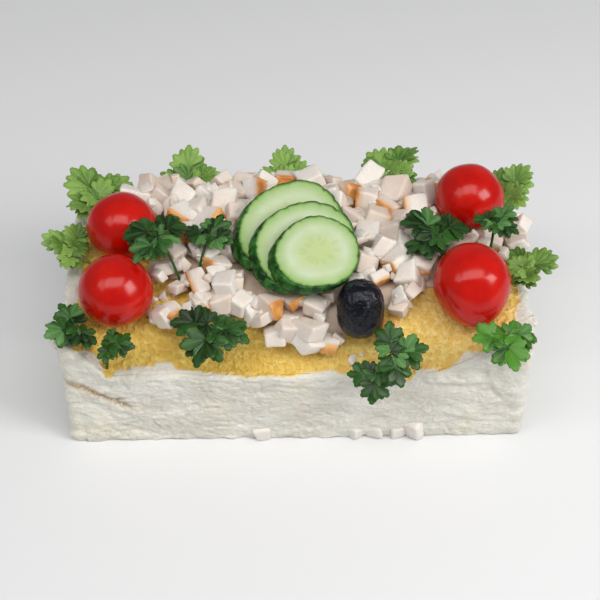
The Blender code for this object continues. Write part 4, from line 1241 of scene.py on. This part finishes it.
def poached_chicken():
    """Poached chicken breast, diced with a knife: pinkish white, fibrous and moist, browned on its skin."""
    material, shader, place, add = new_material("poached chicken breast")
    browning_and_gap_shade = add("Attribute", take="Fac", attribute_name="browning_and_gap_shade")
    die_tone = add("Attribute", take="Fac", attribute_name="tone")
    # Bundles of muscle fibre are 0.7 mm apart and 2 mm long. Single fibres are too fine to show
    bundles = add("Mapping", {"Vector": place, "Scale": (each(0.714), each(2.0), each(0.909))})
    fibre = add("TexNoise", {"Vector": bundles, "Scale": 1.0, "Detail": 3.0})
    # Each die has its own tone, with pinker patches 8 mm apart
    tone = add("TexNoise", {"Vector": place, "Scale": each(7.69), "Detail": 2.0})
    tone = add("Math", {0: tone, 1: die_tone}, operation="ADD")
    tone = add("MapRange", {"Value": tone, 1: 0.6, 2: 1.5})
    flesh = add("Mix", {0: tone, 6: "#e4dfd8", 7: "#d9c8ba"}, 2, data_type="RGBA")
    share = add("MapRange", {"Value": fibre, 1: 0.45, 2: 0.7, 4: 0.35})
    flesh = add("Mix", {0: share, 6: flesh, 7: "#d8c2b2"}, 2, data_type="RGBA")
    # The browning is blotchy, 6 mm apart
    blot = add("TexNoise", {"Vector": place, "Scale": each(6.25), "Detail": 2.0})
    blot = add("MapRange", {"Value": blot, 1: 0.38, 2: 0.66})
    browned = add("Mix", {0: blot, 6: "#dda45a", 7: "#b8702e"}, 2, data_type="RGBA")
    # Real browning on the dice's skin, and painted shade on the core in the gaps between the dice
    colour = add("Mix", {0: browning_and_gap_shade, 6: flesh, 7: browned}, 2, data_type="RGBA")
    roughness = add("MapRange", {"Value": browning_and_gap_shade, 3: 0.44, 4: 0.30})
    bump = add("Bump", {"Height": fibre, "Strength": 0.35, "Distance": 0.3 * MM})
    join(shader, {"Base Color": colour, "Roughness": roughness, "Normal": bump})
    join(shader, {"Subsurface Weight": 0.18, "Subsurface Scale": 0.6})
    join(shader, {"Subsurface Radius": (0.004, 0.0025, 0.002)})
    return material


def tomato_skin():
    """Ripe tomato skin: deep red, smooth as lacquer, so it shows the lights as soft white patches."""
    material, shader, place, add = new_material("ripe tomato skin")
    # The ripeness is uneven, in patches 11 mm apart
    tone = add("TexNoise", {"Vector": place, "Scale": each(11.1), "Detail": 2.0})
    tone = add("MapRange", {"Value": tone, 1: 0.4, 2: 0.65})
    red = add("Mix", {0: tone, 6: "#b20a02", 7: "#c21303"}, 2, data_type="RGBA")
    # The pale dots under the skin are 2 mm apart. They are drawn 0.4 mm across, as finer ones don't show
    dots = add("TexVoronoi", {"Vector": place, "Scale": each(1.92)})
    dots = add("MapRange", {"Value": dots, 1: 0.16, 2: 0.05, 4: 0.12})
    red = add("Mix", {0: dots, 6: red, 7: "#e8642c"}, 2, data_type="RGBA")
    # Faint ripples 4 mm apart make the highlights uneven
    ripple = add("TexNoise", {"Vector": place, "Scale": each(3.85), "Detail": 2.0})
    bump = add("Bump", {"Height": ripple, "Strength": 0.10, "Distance": 0.3 * MM})
    join(shader, {"Base Color": red, "Roughness": 0.19, "IOR": 1.39, "Normal": bump})
    join(shader, {"Subsurface Weight": 0.05, "Subsurface Scale": 0.5})
    join(shader, {"Subsurface Radius": (0.004, 0.001, 0.0006)})
    return material


def olive_skin():
    """Cured black olive: blue-black and oily, with fine wrinkles that break up its shine."""
    material, shader, place, add = new_material("cured olive skin")
    # Bluer patches are 7 mm apart and the finest wrinkles 1 mm
    tone = add("TexNoise", {"Vector": place, "Scale": each(6.67), "Detail": 3.0})
    tone = add("MapRange", {"Value": tone, 1: 0.4, 2: 0.65})
    black = add("Mix", {0: tone, 6: "#05070d", 7: "#0d1220"}, 2, data_type="RGBA")
    wrinkle = add("TexNoise", {"Vector": place, "Scale": each(1.11), "Detail": 4.0})
    bump = add("Bump", {"Height": wrinkle, "Strength": 0.55, "Distance": 0.6 * MM})
    join(shader, {"Base Color": black, "Roughness": 0.17, "IOR": 1.38, "Normal": bump})
    return material


def cucumber_flesh_and_rind():
    """Cut cucumber: pale watery flesh, greener towards a dark glossy rind, with faint seeds."""
    material, shader, place, add = new_material("cut cucumber")
    rind = add("Attribute", take="Fac", attribute_name="rind")
    seed = add("Attribute", take="Fac", attribute_name="seed")
    flesh = add("Attribute", take="Fac", attribute_name="flesh")
    inner = add("MapRange", {"Value": flesh, 1: 0.30, 2: 0.62})
    pale = add("Mix", {0: inner, 6: "#bccd92", 7: "#c6d4b3"}, 2, data_type="RGBA")
    outer = add("MapRange", {"Value": flesh, 1: 0.68, 2: 0.96})
    pale = add("Mix", {0: outer, 6: pale, 7: "#8db45f"}, 2, data_type="RGBA")
    # The flesh is cloudy, in patches 8 mm apart
    cloud = add("TexNoise", {"Vector": place, "Scale": each(8.33), "Detail": 3.0})
    cloud = add("MapRange", {"Value": cloud, 1: 0.42, 2: 0.66, 4: 0.5})
    pale = add("Mix", {0: cloud, 6: pale, 7: "#b7ca94"}, 2, data_type="RGBA")
    share = add("Math", {0: seed, 1: 0.22}, operation="MULTIPLY")
    pale = add("Mix", {0: share, 6: pale, 7: "#a9b676"}, 2, data_type="RGBA")
    # The rind is mottled light and dark, 4 mm apart
    mottle = add("TexNoise", {"Vector": place, "Scale": each(3.85), "Detail": 3.0})
    mottle = add("MapRange", {"Value": mottle, 1: 0.42, 2: 0.66})
    peel = add("Mix", {0: mottle, 6: "#0d330b", 7: "#357127"}, 2, data_type="RGBA")
    colour = add("Mix", {0: rind, 6: pale, 7: peel}, 2, data_type="RGBA")
    # Its wet cells stand up in lumps of 2.4 mm and finer
    wet = add("TexNoise", {"Vector": place, "Scale": each(2.38), "Detail": 3.0})
    bump = add("Bump", {"Height": wet, "Strength": 0.30, "Distance": 0.3 * MM})
    join(shader, {"Base Color": colour, "Roughness": 0.27, "IOR": 1.37, "Normal": bump})
    join(shader, {"Subsurface Weight": 0.15, "Subsurface Scale": 0.5})
    join(shader, {"Subsurface Radius": (0.003, 0.004, 0.002)})
    return material


def parsley_leaf(name, dark, light, vein_colour, roughness):
    """Fresh parsley leaf: waxy green with paler ribs, thin enough to let a little light through."""
    material, shader, place, add = new_material(name)
    vein = add("Attribute", take="Fac", attribute_name="vein")
    tone = add("Attribute", take="Fac", attribute_name="tone")
    # Each leaflet has its own tone, with patches 3 mm apart, and painted shade darkens it towards its foot
    patch = add("TexNoise", {"Vector": place, "Scale": each(3.33), "Detail": 3.0})
    tone = add("Math", {0: tone, 1: patch}, operation="ADD")
    tone = add("MapRange", {"Value": tone, 1: 0.35, 2: 1.25})
    green = add("Mix", {0: tone, 6: dark, 7: light}, 2, data_type="RGBA")
    share = add("Math", {0: vein, 1: 0.26}, operation="MULTIPLY")
    green = add("Mix", {0: share, 6: green, 7: vein_colour}, 2, data_type="RGBA")
    # The net of small veins is 0.9 mm wide
    net = add("TexVoronoi", {"Vector": place, "Scale": each(0.909)}, feature="DISTANCE_TO_EDGE")
    bump = add("Bump", {"Height": net, "Strength": 0.25, "Distance": 0.2 * MM})
    join(shader, {"Base Color": green, "Roughness": roughness, "IOR": 1.38, "Normal": bump})
    join(shader, {"Subsurface Weight": 0.08, "Subsurface Scale": 0.4})
    join(shader, {"Subsurface Radius": (0.001, 0.002, 0.0005)})
    return material


def build_floor():
    """A plain pale floor, well beyond what the camera sees."""
    mesh = bpy.data.meshes.new("floor")
    corners = [(x * FLOOR_REACH, y * FLOOR_REACH, 0) for x, y in ((-1, -1), (1, -1), (1, 1), (-1, 1))]
    mesh.from_pydata(corners, [], [(0, 1, 2, 3)])
    material, shader, _, _ = new_material("pale painted floor")
    join(shader, {"Base Color": "#e4e5e7", "Roughness": 0.9})
    mesh.materials.append(material)
    floor = bpy.data.objects.new("floor", mesh)
    bpy.context.scene.collection.objects.link(floor)


def build_studio():
    """Faint daylight from all round, a broad light over the camera and a smaller one at either side."""
    world = bpy.data.worlds.new("studio")
    world.use_nodes = True
    join(world.node_tree.nodes["Background"], {"Color": "#eef1f6", "Strength": DAYLIGHT})
    bpy.context.scene.world = world
    for name, place, width, height, power, colour in LIGHTS:
        light = bpy.data.lights.new(name, "AREA")
        light.shape = "RECTANGLE"
        light.size = width
        light.size_y = height
        light.energy = power
        light.color = linear(colour)[:3]
        lamp = bpy.data.objects.new(name, light)
        lamp.location = place
        lamp.rotation_euler = (Vector(LIGHTS_AIM) - Vector(place)).to_track_quat("-Z", "Y").to_euler()
        bpy.context.scene.collection.objects.link(lamp)


def build_camera():
    """The camera of the photograph: 42 degrees above the table, nearly square to the front."""
    elevation = math.radians(CAMERA_ELEVATION)
    target = Vector(CAMERA_TARGET)
    eye = target + Vector((0, -math.cos(elevation), math.sin(elevation))) * CAMERA_DISTANCE
    yaw = Matrix.Rotation(math.radians(CAMERA_YAW), 4, "Z")
    data = bpy.data.cameras.new("camera")
    data.lens = CAMERA_LENS
    data.sensor_width = SENSOR_WIDTH
    camera = bpy.data.objects.new("camera", data)
    look = (target - eye).to_track_quat("-Z", "Y").to_matrix().to_4x4()
    camera.matrix_world = yaw @ Matrix.Translation(eye) @ look
    bpy.context.scene.collection.objects.link(camera)
    bpy.context.scene.camera = camera


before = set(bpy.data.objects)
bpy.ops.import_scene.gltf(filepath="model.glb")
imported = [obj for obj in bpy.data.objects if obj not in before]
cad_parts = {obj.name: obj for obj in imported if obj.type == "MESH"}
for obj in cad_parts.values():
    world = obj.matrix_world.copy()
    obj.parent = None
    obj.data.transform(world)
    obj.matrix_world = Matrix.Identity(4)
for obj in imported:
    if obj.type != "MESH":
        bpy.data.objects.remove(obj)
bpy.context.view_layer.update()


def main():
    """Dress the cake, light it and place the camera."""
    bpy.context.scene.view_settings.view_transform = "Standard"
    build_floor()
    build_studio()
    build_camera()
    cream = [cream_cheese_and_egg()]
    chicken = [poached_chicken()]
    build_coat(cream)
    build_cream_lumps(cream)
    build_spread(cream)
    build_chicken(chicken)
    build_foot_dice(chicken)
    build_crumbs(chicken)
    red = [tomato_skin()]
    for number, row in enumerate(TOMATOES):
        build_tomato(number, *row, red)
    build_olive([olive_skin()])
    green = [cucumber_flesh_and_rind()]
    for number, row in enumerate(SLICES):
        build_slice(number, *row, green)
    underside = parsley_leaf("parsley leaf underside", "#2f5b27", "#4c7a3a", "#86ab7a", 0.55)
    grown = parsley_leaf("grown parsley leaf", "#081d05", "#295419", "#4a7638", 0.36)
    bright = parsley_leaf("bright parsley leaf", "#163f08", "#4a8226", "#64963f", 0.36)
    young = parsley_leaf("young parsley leaf", "#3c6620", "#7fa44c", "#9cbc6c", 0.45)
    leaves = {"grown": [grown, underside], "bright": [bright, underside], "young": [young, young]}
    for number, row in enumerate(SPRIGS):
        build_sprig(number, *row, leaves[row[-1]])


main()
